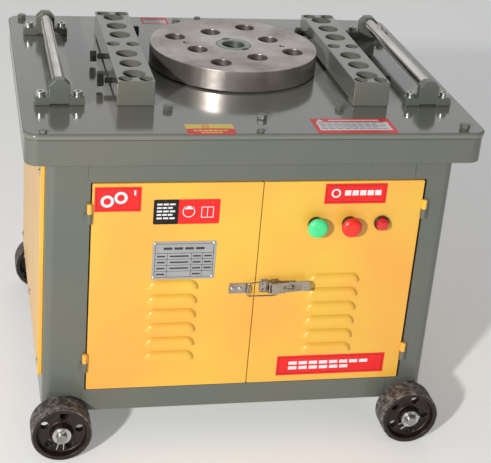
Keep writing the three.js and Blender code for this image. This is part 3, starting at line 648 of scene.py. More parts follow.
SLOTS = {
    GREY: "grey_paint", TABLE_GREY: "grey_paint", DARK_GREY: "grey_paint", YELLOW: "yellow_paint",
    DISC_STEEL: "disc_steel", SHAFT_STEEL: "bare_steel", BARE_STEEL: "bare_steel", BLACK_STEEL: "bare_steel",
    ALUMINIUM: "bare_steel", CHROME: "roller_chrome", ZINC: "zinc_plate", STAINLESS: "zinc_plate",
    WHEEL_IRON: "wheel_iron", BLACK_PLASTIC: "black_plastic", GREEN_PLASTIC: "green_plastic",
    RED_PLASTIC: "red_plastic", PRINT_RED: "red_plastic",
}


# --- fasteners


def hex_head(shape, place, across, height, turn=0.0):
    """A bolt head with a chamfered rim and a washer face under it."""
    r = across / 2
    shape.plate(circle(0, 0, r * 0.96, 24), 0, 0.8, bevel=0.2, place=place)
    shape.plate(hexagon(0, 0, across, turn), 0.6, height, bevel=min(1.2, height / 4), place=place)


def socket_head(shape, place, r, height):
    """A cap screw's head with its hexagon socket."""
    floor = height * 0.45
    rim, socket = circle(0, 0, r, 32), hexagon(0, 0, r * 0.8)
    shape.plate(rim, 0, floor, bevel=0.3, place=place)
    shape.plate(rim, floor, height, [socket], bevel=r * 0.07, place=place)


def pan_head(shape, place, r, height, washer=0.0):
    """A domed screw head with a dimple in its middle, on a washer where one is asked for."""
    if washer:
        shape.plate(circle(0, 0, washer, 32), 0, 1, bevel=0.3, place=place)
    base = 0.9 if washer else 0.0
    dome = [(0, base), (r * 0.94, base), (r, base + 0.4)]
    dome += [(r * math.cos(a), base + 0.4 + (height - 0.4) * math.sin(a)) for a in (0.35, 0.75, 1.15)]
    dome.append((r * 0.16, base + height))
    dome.append((0, base + height * 0.55))
    shape.lathe(dome, place, 24)


# --- table


def build_table():
    lo, hi = TABLE_LO, TABLE_HI
    plate = Shape().plate(
        rectangle(lo.x, hi.x, lo.y, hi.y, TABLE_CORNER, 10), lo.z, hi.z,
        [circle(DISC_CENTRE.x, DISC_CENTRE.y, SHAFT_R + 4, 64)], bevel=4.5, steps=6,
    )
    make("table_top", plate, TABLE_GREY, "frame", ["table_plate"])

    lo, hi = SKIRT_LO, SKIRT_HI
    corner = TABLE_CORNER - 3
    skirt = Shape().plate(
        rectangle(lo.x, hi.x, lo.y, hi.y, corner, 10), lo.z, hi.z,
        [rectangle(lo.x + 5, hi.x - 5, lo.y + 5, hi.y - 5, corner - 5, 10)], bevel=1.2,
    )
    make("table_apron", skirt, GREY, "frame", ["table_skirt"])


TABLE_BOLTS = (
    (-410, 330), (-404, -349), (-162, -235), (11, -282), (-5.5, -347), (178, -229), (398, -334),
    (-8, 343), (-63, 310),
)


def build_table_bolts():
    """Painted hexagon bolts that hold the gearbox and the cabinet under the table."""
    for i, (x, y) in enumerate(TABLE_BOLTS, 1):
        small = abs(y) > 340  # the ones along the front and rear edges
        bolt = Shape()
        hex_head(bolt, at(x, y, TOP), 13 if small else 17, 6 if small else 10, turn=0.4 * i)
        make(f"table_bolt_{i}", bolt, GREY)


# --- bending disc


def pin_holes():
    c, s = math.cos(PIN_TURN), math.sin(PIN_TURN)
    return [
        (DISC_CENTRE.x + PIN_PITCH * (i * c - j * s), DISC_CENTRE.y + PIN_PITCH * (i * s + j * c))
        for i in (-1, 0, 1) for j in (-1, 0, 1) if i or j
    ]


def build_disc():
    x, y = DISC_CENTRE.x, DISC_CENTRE.y
    tapped = [(-87, 36), (115, 19)]
    holes = [circle(x, y, SHAFT_R + 0.4, 72)]
    holes += [circle(px, py, PIN_R, 56) for px, py in pin_holes()]
    holes += [circle(px, py, 5.5, 28) for px, py in tapped]
    disc = Shape().plate(circle(x, y, DISC_R, 180), DISC_LO.z, DISC_HI.z, holes, bevel=1.3, steps=3)
    make("disc_with_pin_holes", disc, DISC_STEEL, "disc_drive", ["bending_disc"])

    lo, hi = box_mm("main_shaft")
    step = 600
    profile = [
        (0, lo.z), (23.5, lo.z), (25, lo.z + 1.5), (25, step), (SHAFT_R, step), (SHAFT_R, hi.z - 1.2),
        (SHAFT_R - 1.2, hi.z), (SOCKET_R + 1.6, hi.z), (SOCKET_R, hi.z - 1.8), (SOCKET_R, hi.z - 60),
        (0, hi.z - 60),
    ]
    shaft = Shape().lathe(profile, at(x, y, 0), 72)
    make("disc_shaft", shaft, SHAFT_STEEL, "disc_drive", ["main_shaft"])

    # two short key ends lie in the joint between shaft and disc
    keys = Shape()
    for turn in (105, -60):
        place = at(x, y, DISC_HI.z) @ Matrix.Rotation(math.radians(turn), 4, "Z")
        keys.box((SHAFT_R - 3.5, -8, -2), (SHAFT_R + 4, 8, 0.5), 0.4, 2, place)
    make("disc_key_ends", keys, BLACK_STEEL, "disc_drive")


# --- pin rails


def build_rail(side):
    lo, hi = box_mm(f"pin_rail_{side}")
    cx, cy = (lo.x + hi.x) / 2, (lo.y + hi.y) / 2
    depth = hi.z - lo.z
    bolts = [(cx + s * RAIL_BOLT_SIDE, cy + dy) for dy in RAIL_BOLT_ROWS for s in (-1, 1)]
    rail = Shape().box(lo, hi, 1.6, 3)
    pins, wells, relief = Shape(), Shape(), Shape()
    pin = [(0, -2), (PIN_R + 3, -2), (PIN_R, 1.2)]
    pin += [(PIN_R, depth - 1.4), (PIN_R + 2.4, depth + 1), (0, depth + 1)]
    for dy in RAIL_PIN_STEPS:
        pins.lathe(pin, at(cx, cy + dy, lo.z), 56)
    well = [(0, -26), (RAIL_BOLT_R, -26), (RAIL_BOLT_R, -0.9), (RAIL_BOLT_R + 1.6, 0.7), (0, 0.7)]
    screws = Shape()
    for x, y in bolts:
        wells.lathe(well, at(x, y, hi.z), 40)
        socket_head(screws, at(x, y, hi.z - 25.8), 10.5, 12)
    relief.box((lo.x - 5, lo.y + 34, lo.z - 5), (hi.x + 5, hi.y - 34, lo.z + 6), 0)
    cuts = [pins, wells, relief]
    make(f"pin_bar_{side}", rail, TABLE_GREY, "frame", [f"pin_rail_{side}"], cuts, angle=30)
    make(f"pin_bar_{side}_cap_screws", screws, GREY)

    outer, inner = (lo.x, hi.x) if side == "left" else (hi.x, lo.x)
    way = SIDES[side]
    side_bolts = ((outer, way, 20), (outer, way, -124), (inner, -way, 190))
    for i, (face, out, y) in enumerate(side_bolts, 1):
        bolt = Shape()
        place = axes((face, y, RAIL_SIDE_BOLT_Z), (0, out, 0), (0, 0, 1))
        thread = [(0, -4), (5.6, -4)]
        for k in range(9):
            thread += [(6.1, -3 + 2 * k), (5.3, -2 + 2 * k)]
        thread.append((0, 15))
        bolt.lathe(thread, place, 24)
        reach = 17 if out == way else 8
        hex_head(bolt, place @ at(0, 0, reach), 22, 12, turn=0.3 * i)
        make(f"pin_bar_{side}_side_bolt_{i}", bolt, BLACK_STEEL)


# --- rollers


def build_roller(side):
    lo, hi = box_mm(f"roller_{side}")
    x, z = (lo.x + hi.x) / 2, (lo.z + hi.z) / 2
    r = (hi.z - lo.z) / 2
    length = hi.y - lo.y
    half = [(0, 0), (r - 2, 0, 0.8), (r - 2, 14, 0.6), (r, 16, 0.6)]
    profile = softened(mirrored(half, length / 2), 2, closed=False)
    bar = Shape().lathe(profile, axes((x, lo.y, z), (1, 0, 0), (0, 0, -1)), 72)
    make(f"chrome_roller_{side}", bar, CHROME, f"{side}_roller", [f"roller_{side}"])

    for end in ("front", "rear"):
        node = f"roller_block_{side}_{end}"
        lo, hi = box_mm(node)
        w, foot = 19.5, 16
        block = Shape()
        tower = softened([
            (x - w, lo.z + 2.5, 0.8), (x + w, lo.z + 2.5, 0.8), (x + w, hi.z - 11, 2.5),
            (x + w - 11, hi.z, 2.5), (x - w + 11, hi.z, 2.5), (x - w, hi.z - 11, 2.5)], 4)
        block.plate(tower, -hi.y, -lo.y, bevel=1.6, place=facing_front())
        for s in (-1, 1):
            near, far = x + s * (w - 1), x + s * 47
            pad = softened([
                (near, lo.z, 0.8), (far, lo.z, 0.8), (far, lo.z + foot, 3.5), (near, lo.z + foot, 0.5)], 4)
            block.plate(pad, -hi.y, -lo.y, bevel=1.2, place=facing_front())
        make(f"bearing_block_{side}_{end}", block, GREY, "frame", [node], angle=34)

        screws = Shape()
        for s in (-1, 1):
            place = at(x + s * 35, (lo.y + hi.y) / 2, lo.z + foot)
            screws.plate(circle(0, 0, 10.4, 32), -0.2, 1.4, [circle(0, 0, 6, 24)], bevel=0.3, place=place)
            socket_head(screws, place @ at(0, 0, 1), 8.8, 9)
        make(f"bearing_block_{side}_{end}_screws", screws, ZINC)


# --- cabinet


def build_cabinet():
    lo, hi = CABINET_LO, CABINET_HI
    shell = Shape().plate(
        rectangle(lo.x, hi.x, lo.y, hi.y, CABINET_CORNER, 10), lo.z, hi.z,
        [rectangle(lo.x + SHEET, hi.x - SHEET, lo.y + SHEET, hi.y - SHEET, CABINET_CORNER - SHEET, 10)],
        bevel=0.8, steps=2,
    )
    gap = 2
    x0, x1 = DOOR_SPANS["left"][0] - DOOR_GAP["left"], DOOR_SPANS["right"][1] + DOOR_GAP["right"]
    sill, lintel = DOOR_BOTTOM - gap, DOOR_TOP + gap
    window = (200, 560)
    cut = Shape()
    cut.plate(rectangle(x0, x1, sill, lintel, 3, 4), -lo.y - 60, -lo.y + 10, bevel=0, place=facing_front())
    cut.plate(rectangle(-300, 300, *window, 20, 6), hi.y - 40, hi.y + 10, bevel=0, place=facing_back())
    for s in (-1, 1):
        span = sorted((s * -250, s * 240))
        cut.plate(rectangle(*span, *window, 20, 6), 350, 420, bevel=0, place=facing_side(s))
    seams = Shape()
    for x in SEAM_X:
        for z0, z1 in ((lo.z - 2, sill - 1), (lintel + 1, SKIRT_LO.z + 4)):
            seams.box((x - 0.6, lo.y - 5, z0), (x + 0.6, lo.y + 1.2, z1), 0)
    make("cabinet_shell", shell, GREY, "frame", ["cabinet_frame"], [cut, seams], angle=30)

    # folded flanges at the bottom and top, and a return fold round the doorway
    inner = SHEET + 0.4
    flange = 30
    rims = Shape()
    for z0 in (lo.z + 0.6, hi.z - 3.6):
        rims.plate(
            rectangle(lo.x + inner, hi.x - inner, lo.y + inner, hi.y - inner, CABINET_CORNER - inner, 8),
            z0, z0 + 3,
            [rectangle(lo.x + flange, hi.x - flange, lo.y + flange, hi.y - flange, 6, 6)], bevel=0.6,
        )
    fold_y = lo.y + inner
    for xa, xb in ((x0 - 3, x0 - 0.2), (x1 + 0.2, x1 + 3)):
        rims.box((xa, fold_y, DOOR_BOTTOM), (xb, fold_y + 24, DOOR_TOP), 0.6, 2)
    for za, zb in ((sill - 3, sill - 0.2), (lintel + 0.2, lintel + 3)):
        rims.box((x0, fold_y, za), (x1, fold_y + 24, zb), 0.6, 2)
    make("cabinet_folded_rims", rims, GREY)

    lo, hi = box_mm("cabinet_floor")
    floor = Shape().plate(rectangle(lo.x, hi.x, lo.y, hi.y, 10, 5), lo.z, hi.z, bevel=0.6)
    make("cabinet_floor_sheet", floor, DARK_GREY, "frame", ["cabinet_floor"])


def folded_pan(place, x0, x1, z0, z1, back, face, holes=(), corner=3, bevel=0.9, steps=3):
    """A 2 mm sheet with its edges folded back."""
    outline = rectangle(x0, x1, z0, z1, corner, 4)
    inside = rectangle(x0 + 2, x1 - 2, z0 + 2, z1 - 2, 1.5, 3)
    pan = Shape().plate(outline, face - 2, face, holes, bevel, steps, place)
    return pan.plate(outline, back, face - 1.2, [inside], 0.3, 1, place)


def cover_screws(name, place, columns, rows, face):
    screws = Shape()
    for x in columns:
        for z in rows:
            pan_head(screws, place @ at(x, z, face), 5, 2.6, washer=8)
    make(name, screws, ZINC)


def build_covers():
    """The side and rear covers: shallow folded pans held by screws with washers."""
    for side, s in SIDES.items():
        node = f"side_cover_{side}"
        lo, hi = box_mm(node)
        place = facing_side(s)
        back, face = sorted((abs(lo.x), abs(hi.x)))
        cover = folded_pan(place, *sorted((s * lo.y, s * hi.y)), lo.z, hi.z, back, face)
        make(f"side_panel_{side}", cover, YELLOW, "frame", [node])
        columns = [s * y for y in (lo.y + 14, (lo.y + hi.y) / 2, hi.y - 14)]
        cover_screws(f"side_panel_{side}_screws", place, columns, (lo.z + 26, hi.z - 24), face)

    lo, hi = box_mm("rear_cover")
    place = facing_back()
    face = CABINET_HI.y + 8.3
    rows = [(90, 230, 480), (-230, -90, 480)]
    slots = [slot for row in rows for slot in louvre_slots(*row)]
    cover = folded_pan(place, lo.x, hi.x, lo.z, hi.z, lo.y, face, slots, bevel=0.6, steps=2)
    for row in rows:
        louvre_hoods(cover, place, face, *row)
    make("rear_panel", cover, YELLOW, "frame", ["rear_cover"])
    cover_screws("rear_panel_screws", place, (-324, 0, 324), (lo.z + 22, hi.z - 22), face)


# --- doors


def louvre_slots(x0, x1, top):
    """The openings behind a row of louvres."""
    made = []
    for i in range(LOUVRE_COUNT):
        z0 = top - i * LOUVRE_PITCH - LOUVRE_HEIGHT
        made.append(rectangle(x0 + 12, x1 - 12, z0 + 0.6, z0 + LOUVRE_HEIGHT - 9, 4, 4))
    return made


def louvre_hoods(shape, place, face, x0, x1, top):
    """Pressed hoods with round ends, open downwards: an outer and an inner skin joined at the lip."""
    skin, steps = 1.6, 10
    turns = [math.pi / 2 * k / steps for k in range(steps + 1)]
    for i in range(LOUVRE_COUNT):
        z0 = top - i * LOUVRE_PITCH - LOUVRE_HEIGHT
        ends = [(x0 + LOUVRE_HEIGHT, math.pi - a) for a in turns]
        ends += [(x1 - LOUVRE_HEIGHT, math.pi / 2 - a) for a in turns]
        verts, rows = [], []
        for cx, a in ends:
            skins = []
            for inset in (0, skin):
                skins.append(range(len(verts), len(verts) + steps + 1))
                for k in range(steps + 1):
                    rho = (k / steps) ** 0.6
                    reach = (LOUVRE_HEIGHT - inset) * rho
                    out = (LOUVRE_OUT - inset + 0.2) * (1 - rho ** 5) - 0.2
                    verts.append((cx + reach * math.cos(a), z0 + reach * math.sin(a), face + out))
            rows.append([*skins[0], *reversed(skins[1])])
        faces = between(rows)
        for row in (rows[0], rows[-1]):
            faces += between([row[:steps + 1], row[steps + 1:][::-1]], around=False)
        shape.add(verts, faces, place)


def build_door(side):
    x0, x1 = DOOR_SPANS[side]
    place = facing_front()
    face, back = -DOOR_FACE, -DOOR_FACE - DOOR_DEPTH
    holes = louvre_slots(*LOUVRES[side])
    if side == "right":
        holes += [circle(x, BUTTON_Z, 11.3, 40) for x in (*BUTTON_X.values(), LAMP_X)]
    inside = rectangle(x0 + 2, x1 - 2, DOOR_BOTTOM + 2, DOOR_TOP - 2, 1.5, 3)
    lip = rectangle(x0 + 16, x1 - 16, DOOR_BOTTOM + 16, DOOR_TOP - 16, 3, 3)
    door = folded_pan(place, x0, x1, DOOR_BOTTOM, DOOR_TOP, back, face, holes, 2.5, 0.85, 4)
    door.plate(inside, back, back + 1.8, [lip], bevel=0.4, steps=1, place=place)
    louvre_hoods(door, place, face, *LOUVRES[side])
    make(f"door_panel_{side}", door, YELLOW, f"{side}_door", [f"door_{side}"], angle=32)

    # lift-off hinges: a knuckle on the door stands on a post with a pin
    toward = -SIDES[side]
    hx, r, half = HINGE_X[side], HINGE_R, HINGE_HALF
    sleeve = softened([(3, 0.4, 0.3), (r, 0.4, 0.6), (r, half, 1.6), (0, half)], 3, closed=False)
    knuckles = Shape()
    for z in HINGE_SPLITS.values():
        knuckles.lathe([(0, 0.4), *sleeve], at(hx, HINGE_Y, z), 32)
        xa, xb = sorted((hx, hx + toward * 6))
        knuckles.box((xa, HINGE_Y - 1.2, z + 1), (xb, DOOR_FACE + 0.5, z + half - 1), 0.8, 2)
    make(f"hinge_knuckles_{side}", knuckles, YELLOW, f"{side}_door")

    post = [(0, -half), (r, -half, 1.6), (r, 0, 0.6), (2.5, 0), (2.5, half - 4, 0.8), (0, half - 4)]
    for level, z in HINGE_SPLITS.items():
        lower = Shape().lathe(softened(post, 3, closed=False), at(hx, HINGE_Y, z), 32)
        xa, xb = sorted((hx, hx - toward * 9))
        lower.box((xa, HINGE_Y + 1, z - half + 1), (xb, CABINET_LO.y - 0.1, z - 1), 0.7, 2)
        make(f"hinge_post_{side}_{level}", lower, GREY, "frame", [f"hinge_{side}_{level}"])


# --- buttons, lamp and latch


def build_controls():
    for name, x in BUTTON_X.items():
        colour = GREEN_PLASTIC if name == "start" else RED_PLASTIC
        place = axes((x, DOOR_FACE, BUTTON_Z), (1, 0, 0), (0, 0, 1))
        cap = softened(
            [(0, -22), (7, -22, 0.5), (7, 15.2, 1), (17, 15.8, 1.6), (20, 19, 2.2), (20, 24, 3),
             (15, 28.6, 8), (6, 30, 6), (0, 30)], 5, closed=False)
        make(f"{name}_mushroom", Shape().lathe(cap, place, 72), colour, f"{name}_push", [f"{name}_button"])
        bezel = softened(
            [(7.4, 0.3), (15, 0.3, 0.4), (15, 4.3, 1), (12.5, 9.3, 1.2), (7.4, 9.3, 0.6)], 4)
        ring = Shape().lathe([*bezel, bezel[0]], place, 64)
        make(f"{name}_collar", ring, BLACK_PLASTIC, "right_door", [f"{name}_bezel"])

    place = axes((LAMP_X, DOOR_FACE, BUTTON_Z), (1, 0, 0), (0, 0, 1))
    collar = softened(
        [(11, -24), (11, 0.3), (15.5, 0.3, 0.5), (15.5, 6.3, 1.6), (12.8, 7.3, 0.8), (12.8, 5)], 4)
    lamp = Shape()
    lamp.lathe([*collar, collar[0]], place, 64)
    lamp.tag = 1
    dome = softened([(0, 4), (12.6, 4), (12.6, 12.5, 3), (9, 17, 5), (0, 18.2)], 6, closed=False)
    lamp.lathe(dome, place, 64)
    make("signal_lamp", lamp, [BLACK_PLASTIC, LAMP_RED], "right_door", ["power_lamp"], slot="red_plastic")


def build_latch():
    """The toggle latch: catch on the left door; base, lever and wire bail on the right door."""
    z = LATCH_Z
    front = facing_front()
    face = -DOOR_FACE + 0.3
    pivot_x, pin_x = 46, 57
    out = -DOOR_FACE + 9

    lo, hi = box_mm("latch_catch")
    catch = Shape()
    catch.plate(
        rectangle(lo.x, hi.x, z - 11, z + 11, 1.5, 3), face, face + 1.5,
        [circle(-28, z, 2.4, 20), circle(-13, z, 2.4, 20)], bevel=0.35, place=front,
    )
    hook = softened(
        [(4.2, face), (4.2, out - 0.8, 0.8), (5.2, out - 0.3, 0.8), (7, out - 0.5, 0.8), (7, face)], 3)
    catch.plate(hook, z - 7, z + 7, bevel=0.4, place=facing_up())
    make("catch_plate", catch, STAINLESS, "left_door", ["latch_catch"])
    screws = Shape()
    for x in (-28, -13):
        pan_head(screws, front @ at(x, z, face + 1.4), 4.2, 2.2)
    make("catch_plate_screws", screws, ZINC, "left_door")

    z += LEVER_RISE
    base = Shape()
    head, tail = 14.5, 9.5
    half = [(25, z - head, 6), (42, z - head, 2), (44, z - tail, 2), (101, z - tail, 4)]
    outline = softened(mirrored(half, z), 5)
    base.plate(outline, face, face + 1.5, [circle(96, z, 2.2, 20)], bevel=0.35, place=front)
    boss = softened(mirrored([(27, z - 12, 6), (40, z - 12, 1)], z), 5)
    base.plate(boss, face + 1.2, face + 4, [circle(33, z - 5.5, 2, 18), circle(33, z + 5.5, 2, 18)],
               bevel=1.1, place=front)
    ear = softened([(-3.4, 0), (3.4, 0), (3.4, 9, 3.2), (3.4, 12.8, 3.2), (-3.4, 12.8, 3.2)], 4)
    for z0 in (z - 8.5, z + 6.5):
        base.plate(ear, 0, 2, bevel=0.3, steps=2, place=facing_up(pivot_x, DOOR_FACE - 0.3, z0))
    rivet = softened(mirrored([(0, -11.6), (2.9, -11.6, 0.9), (2.9, -10.9), (2, -10.9)]), 3, closed=False)
    base.lathe(rivet, at(pivot_x, -out, z), 24)
    make("latch_baseplate", base, STAINLESS, "right_door", ["latch_base"])

    lever = Shape()
    plate_out = out + 5.5
    tilt = at(pivot_x, 0, z) @ Matrix.Rotation(math.radians(-LEVER_TILT), 4, "Y") @ at(-pivot_x, 0, -z)
    drawn = tilt @ facing_up()
    bent = softened(
        [(pivot_x + 2, plate_out), (108, plate_out, 3), (124, plate_out + 6), (124.6, plate_out + 7.9, 0.6),
         (108, plate_out + 1.9, 3), (pivot_x + 2, plate_out + 1.9)], 5)
    lever.plate(bent, z - 10.9, z + 10.9, bevel=0.5, steps=2, place=drawn)
    cheek = softened(
        [(pivot_x - 4.4, out - 4.4, 4.3), (pin_x + 4, out - 4.4, 4), (pin_x + 8, out - 1, 5),
         (pin_x + 12, plate_out + 1.2, 1), (pivot_x + 1, plate_out + 1.2, 1),
         (pivot_x - 4.4, out + 3.6, 4)], 5)
    holes = [circle(pivot_x, out, 2.3, 20), circle(pin_x, out, 1.8, 16)]
    for z0 in (z - 11, z + 9):
        lever.plate(cheek, z0, z0 + 2, holes, bevel=0.35, steps=2, place=facing_up())
    slot = rectangle(72, 97, z - 4.6, z + 4.6, 4.5, 6)
    eye = Shape().plate(slot, plate_out - 4, plate_out + 8, bevel=0, place=tilt @ front)
    make("latch_lever_arm", lever, STAINLESS, "lever", ["latch_lever"], [eye], angle=30)

    # the staple stands on the base and shows through the lever's slot
    crest = plate_out + 3.4
    staple = softened([(75, face + 0.1), (75, crest, 4), (93, crest, 4), (93, face + 0.1)], 6, closed=False)
    wire = Shape().tube([(x, -y, z) for x, y in staple], 1.6)
    make("latch_staple", wire, STAINLESS, "right_door")

    lo, hi = box_mm("latch_bail")
    wire = 1.5
    x0, x1, z0, z1 = lo.x + wire, pin_x, lo.z + wire, hi.z - wire
    widen = 1.5
    loop = [(x0, z0 + 2.5), (x1, z0 - widen + LEVER_RISE), (x1, z1 + widen + LEVER_RISE), (x0, z1 - 2.5)]
    path = [(px, -out, pz) for px, pz in softened([(*p, 4) for p in loop], 6)]
    bail = Shape().tube(path, wire, closed=True, sides=16)
    make("latch_wire_bail", bail, STAINLESS, "bail", ["latch_bail"], slot="bare_steel")


# --- stickers


STICKER_UP = 0.15  # thickness of a sticker, and of each print on it


class Sticker:
    """A printed sticker on a flat face. Its drawing is on the placement's own X and Y."""

    def __init__(self, place, x0, x1, y0, y1, base, corner=0.5):
        self.shape = Shape()
        self.place, self.x0, self.x1, self.y0, self.y1 = place, x0, x1, y0, y1
        self.put(rectangle(x0, x1, y0, y1, corner, 4), base)

    def put(self, outline, colour, holes=(), level=0):
        self.shape.tag = colour
        base = STICKER_UP * level * 0.5
        self.shape.plate(outline, base, base + STICKER_UP, holes, bevel=0, place=self.place)
        return self

    def at(self, u, v):
        return self.x0 + (self.x1 - self.x0) * u, self.y0 + (self.y1 - self.y0) * v

    def bar(self, u0, u1, v0, v1, colour, corner=0, level=1):
        (xa, ya), (xb, yb) = self.at(u0, v0), self.at(u1, v1)
        return self.put(rectangle(xa, xb, ya, yb, corner, 3), colour, level=level)

    def border(self, margin, width, colour, corner=2, level=1):
        m, w = margin, margin + width
        outer = rectangle(self.x0 + m, self.x1 - m, self.y0 + m, self.y1 - m, corner, 4)
        inner = rectangle(self.x0 + w, self.x1 - w, self.y0 + w, self.y1 - w, max(0.2, corner - width), 4)
        return self.put(outer, colour, [inner], level)

    def lines(self, u0, u1, v0, v1, rows, colour, blocks=1, level=1, fill=0.5):
        """Rows of plain dashes where the real sticker is printed."""
        for i in range(rows):
            top = v1 - (v1 - v0) * i / rows
            height = (v1 - v0) / rows * fill
            end = u1 if i % 2 == 0 else u0 + (u1 - u0) * 0.86
            step = (end - u0) / blocks
            for k in range(blocks):
                self.bar(u0 + k * step, u0 + (k + 0.82) * step, top - height, top, colour, level=level)
        return self

    def ring(self, u, v, outer, inner, colour, level=1):
        x, y = self.at(u, v)
        return self.put(circle(x, y, outer, 40), colour, [circle(x, y, inner, 40)], level)

    def dot(self, u, v, r, colour, level=1):
        x, y = self.at(u, v)
        return self.put(circle(x, y, r, 32), colour, level=level)

    def finish(self, name, body):
        return make(name, self.shape, PRINT, body)


def build_stickers():
    """Generic coloured stickers: plain bars, rings and frames, and no lettering or signs."""
    front = facing_front(DOOR_FACE - 0.02)
    top = at(0, 0, TOP + 0.02)

    rings = Sticker(front, -305, -217, 519, 570, RED)
    rings.border(3.5, 0.9, DARK_RED)
    rings.ring(0.27, 0.42, 12.5, 7, WHITE).ring(0.56, 0.56, 12.5, 7, WHITE)
    rings.ring(0.27, 0.42, 13.4, 12.4, MID, 2).ring(0.56, 0.56, 13.4, 12.4, MID, 2)
    rings.bar(0.84, 0.88, 0.66, 0.86, WHITE)
    rings.finish("sticker_two_rings", "left_door")

    guide = Sticker(front, -193, -65, 491, 543, RED, 3)
    guide.bar(0.0, 0.375, 0.0, 1.0, BLACK, 3)
    guide.lines(0.05, 0.34, 0.14, 0.84, 5, WHITE, 3, level=2)
    guide.ring(0.53, 0.50, 12, 10.4, WHITE)
    guide.bar(0.455, 0.605, 0.60, 0.70, WHITE, 1)
    book = rectangle(-101, -77, 504, 527, 1, 3)
    page = rectangle(-99.6, -89.6, 505.4, 525.6, 0.4, 2)
    other = rectangle(-88.4, -78.4, 505.4, 525.6, 0.4, 2)
    guide.put(book, WHITE, [page, other], 1)
    guide.finish("sticker_guide", "left_door")

    start = Sticker(front, 139.4, 264.3, 529, 572, RED)
    start.border(3.5, 0.9, DARK_RED)
    start.ring(0.18, 0.52, 9.5, 6.2, WHITE)
    start.lines(0.32, 0.93, 0.38, 0.66, 1, WHITE, 5, fill=0.9)
    start.finish("sticker_start", "right_door")

    notice = Sticker(front, 78, 307, 141, 187, RED)
    notice.border(4, 1.0, DARK_RED)
    notice.lines(0.11, 0.86, 0.52, 0.70, 1, WHITE, 8, fill=0.9)
    notice.lines(0.11, 0.68, 0.27, 0.45, 1, WHITE, 6, fill=0.9)
    notice.finish("sticker_notice", "right_door")

    maker = Sticker(top, -143, -52, -358, -309, RED)
    wave = [(x, -331 + 3.2 * math.sin((x + 143) / 91 * math.pi)) for x in range(-143, -51, 7)]
    maker.put([*wave, (-52, -331), (-52, -309), (-143, -309)], GOLD, level=1)
    maker.ring(0.42, 0.76, 7, 4.6, RED, 2)
    maker.lines(0.14, 0.86, 0.30, 0.44, 1, GOLD, 7, fill=0.8)
    maker.lines(0.28, 0.74, 0.12, 0.24, 1, GOLD, 5, fill=0.8)
    maker.finish("sticker_table_left", "frame")

    rules = Sticker(top, 104, 261, -360 + 5, -281, RED)
    rules.bar(0.05, 0.95, 0.20, 0.76, WHITE)
    rules.lines(0.08, 0.92, 0.24, 0.72, 5, MID, 9, level=2, fill=0.35)
    rules.bar(0.22, 0.86, 0.84, 0.91, WHITE)
    x, y = rules.at(0.11, 0.79)
    rules.put([(x - 8, y), (x + 8, y), (x, y + 12)], WHITE, level=1)
    rules.finish("sticker_table_right", "frame")

    rear = Sticker(top, -140, -80, 303, 357 - 5, RED)
    rear.bar(0.08, 0.92, 0.12, 0.62, WHITE)
    rear.lines(0.14, 0.86, 0.16, 0.58, 3, MID, 5, level=2, fill=0.35)
    rear.finish("sticker_table_rear", "frame")


def build_nameplate():
    """An aluminium plate with a plain ruled table on it, and a rivet in each corner."""
    front = facing_front(DOOR_FACE - 0.02)
    x0, x1, z0, z1 = -190.5, -66.5, 372, 454
    plate = Shape().plate(rectangle(x0, x1, z0, z1, 1.5, 3), 0, 0.8, bevel=0.25, place=front)
    plate.tag = 1
    left, right, low, high = x0 + 5, x1 - 5, z0 + 5, z1 - 5
    rows = [low, low + 13, low + 26, low + 39, low + 52, high]
    marks = [(left, right, z - 0.5, z + 0.5) for z in rows]
    for x, last in ((left, 5), (right, 5), (left + 24, 4), (left + 71, 4), (left + 93, 4)):
        marks.append((x - 0.5, x + 0.5, rows[0], rows[last]))
    title = (rows[4] + rows[5]) / 2
    marks += [(x, x + 17, title - 2.6, title + 2.6) for x in (left + 16 + 21 * k for k in range(4))]
    cells = [(left + 4, left + 20), (left + 29, left + 66), (left + 74, left + 90), (left + 96, right - 3)]
    for z in rows[:4]:
        for a, b in cells[::2] if z == low else cells:
            marks.append((a, b, z + 4.6, z + 8))
    for mark in marks:
        plate.plate(rectangle(*mark), 0.7, 0.86, bevel=0, place=front)
    make("nameplate", plate, [ALUMINIUM, PLATE_INK], "left_door")
    rivets = Shape()
    for x in (x0 + 4.5, x1 - 4.5):
        for z in (z0 + 4.5, z1 - 4.5):
            dome = [(0, 0.5), (3, 0.5), (2.8, 1.3), (2, 1.9), (1, 2.2), (0, 2.3)]
            rivets.lathe(dome, front @ at(x, z, 0), 20)
    make("nameplate_rivets", rivets, ZINC, "left_door")


# --- wheels


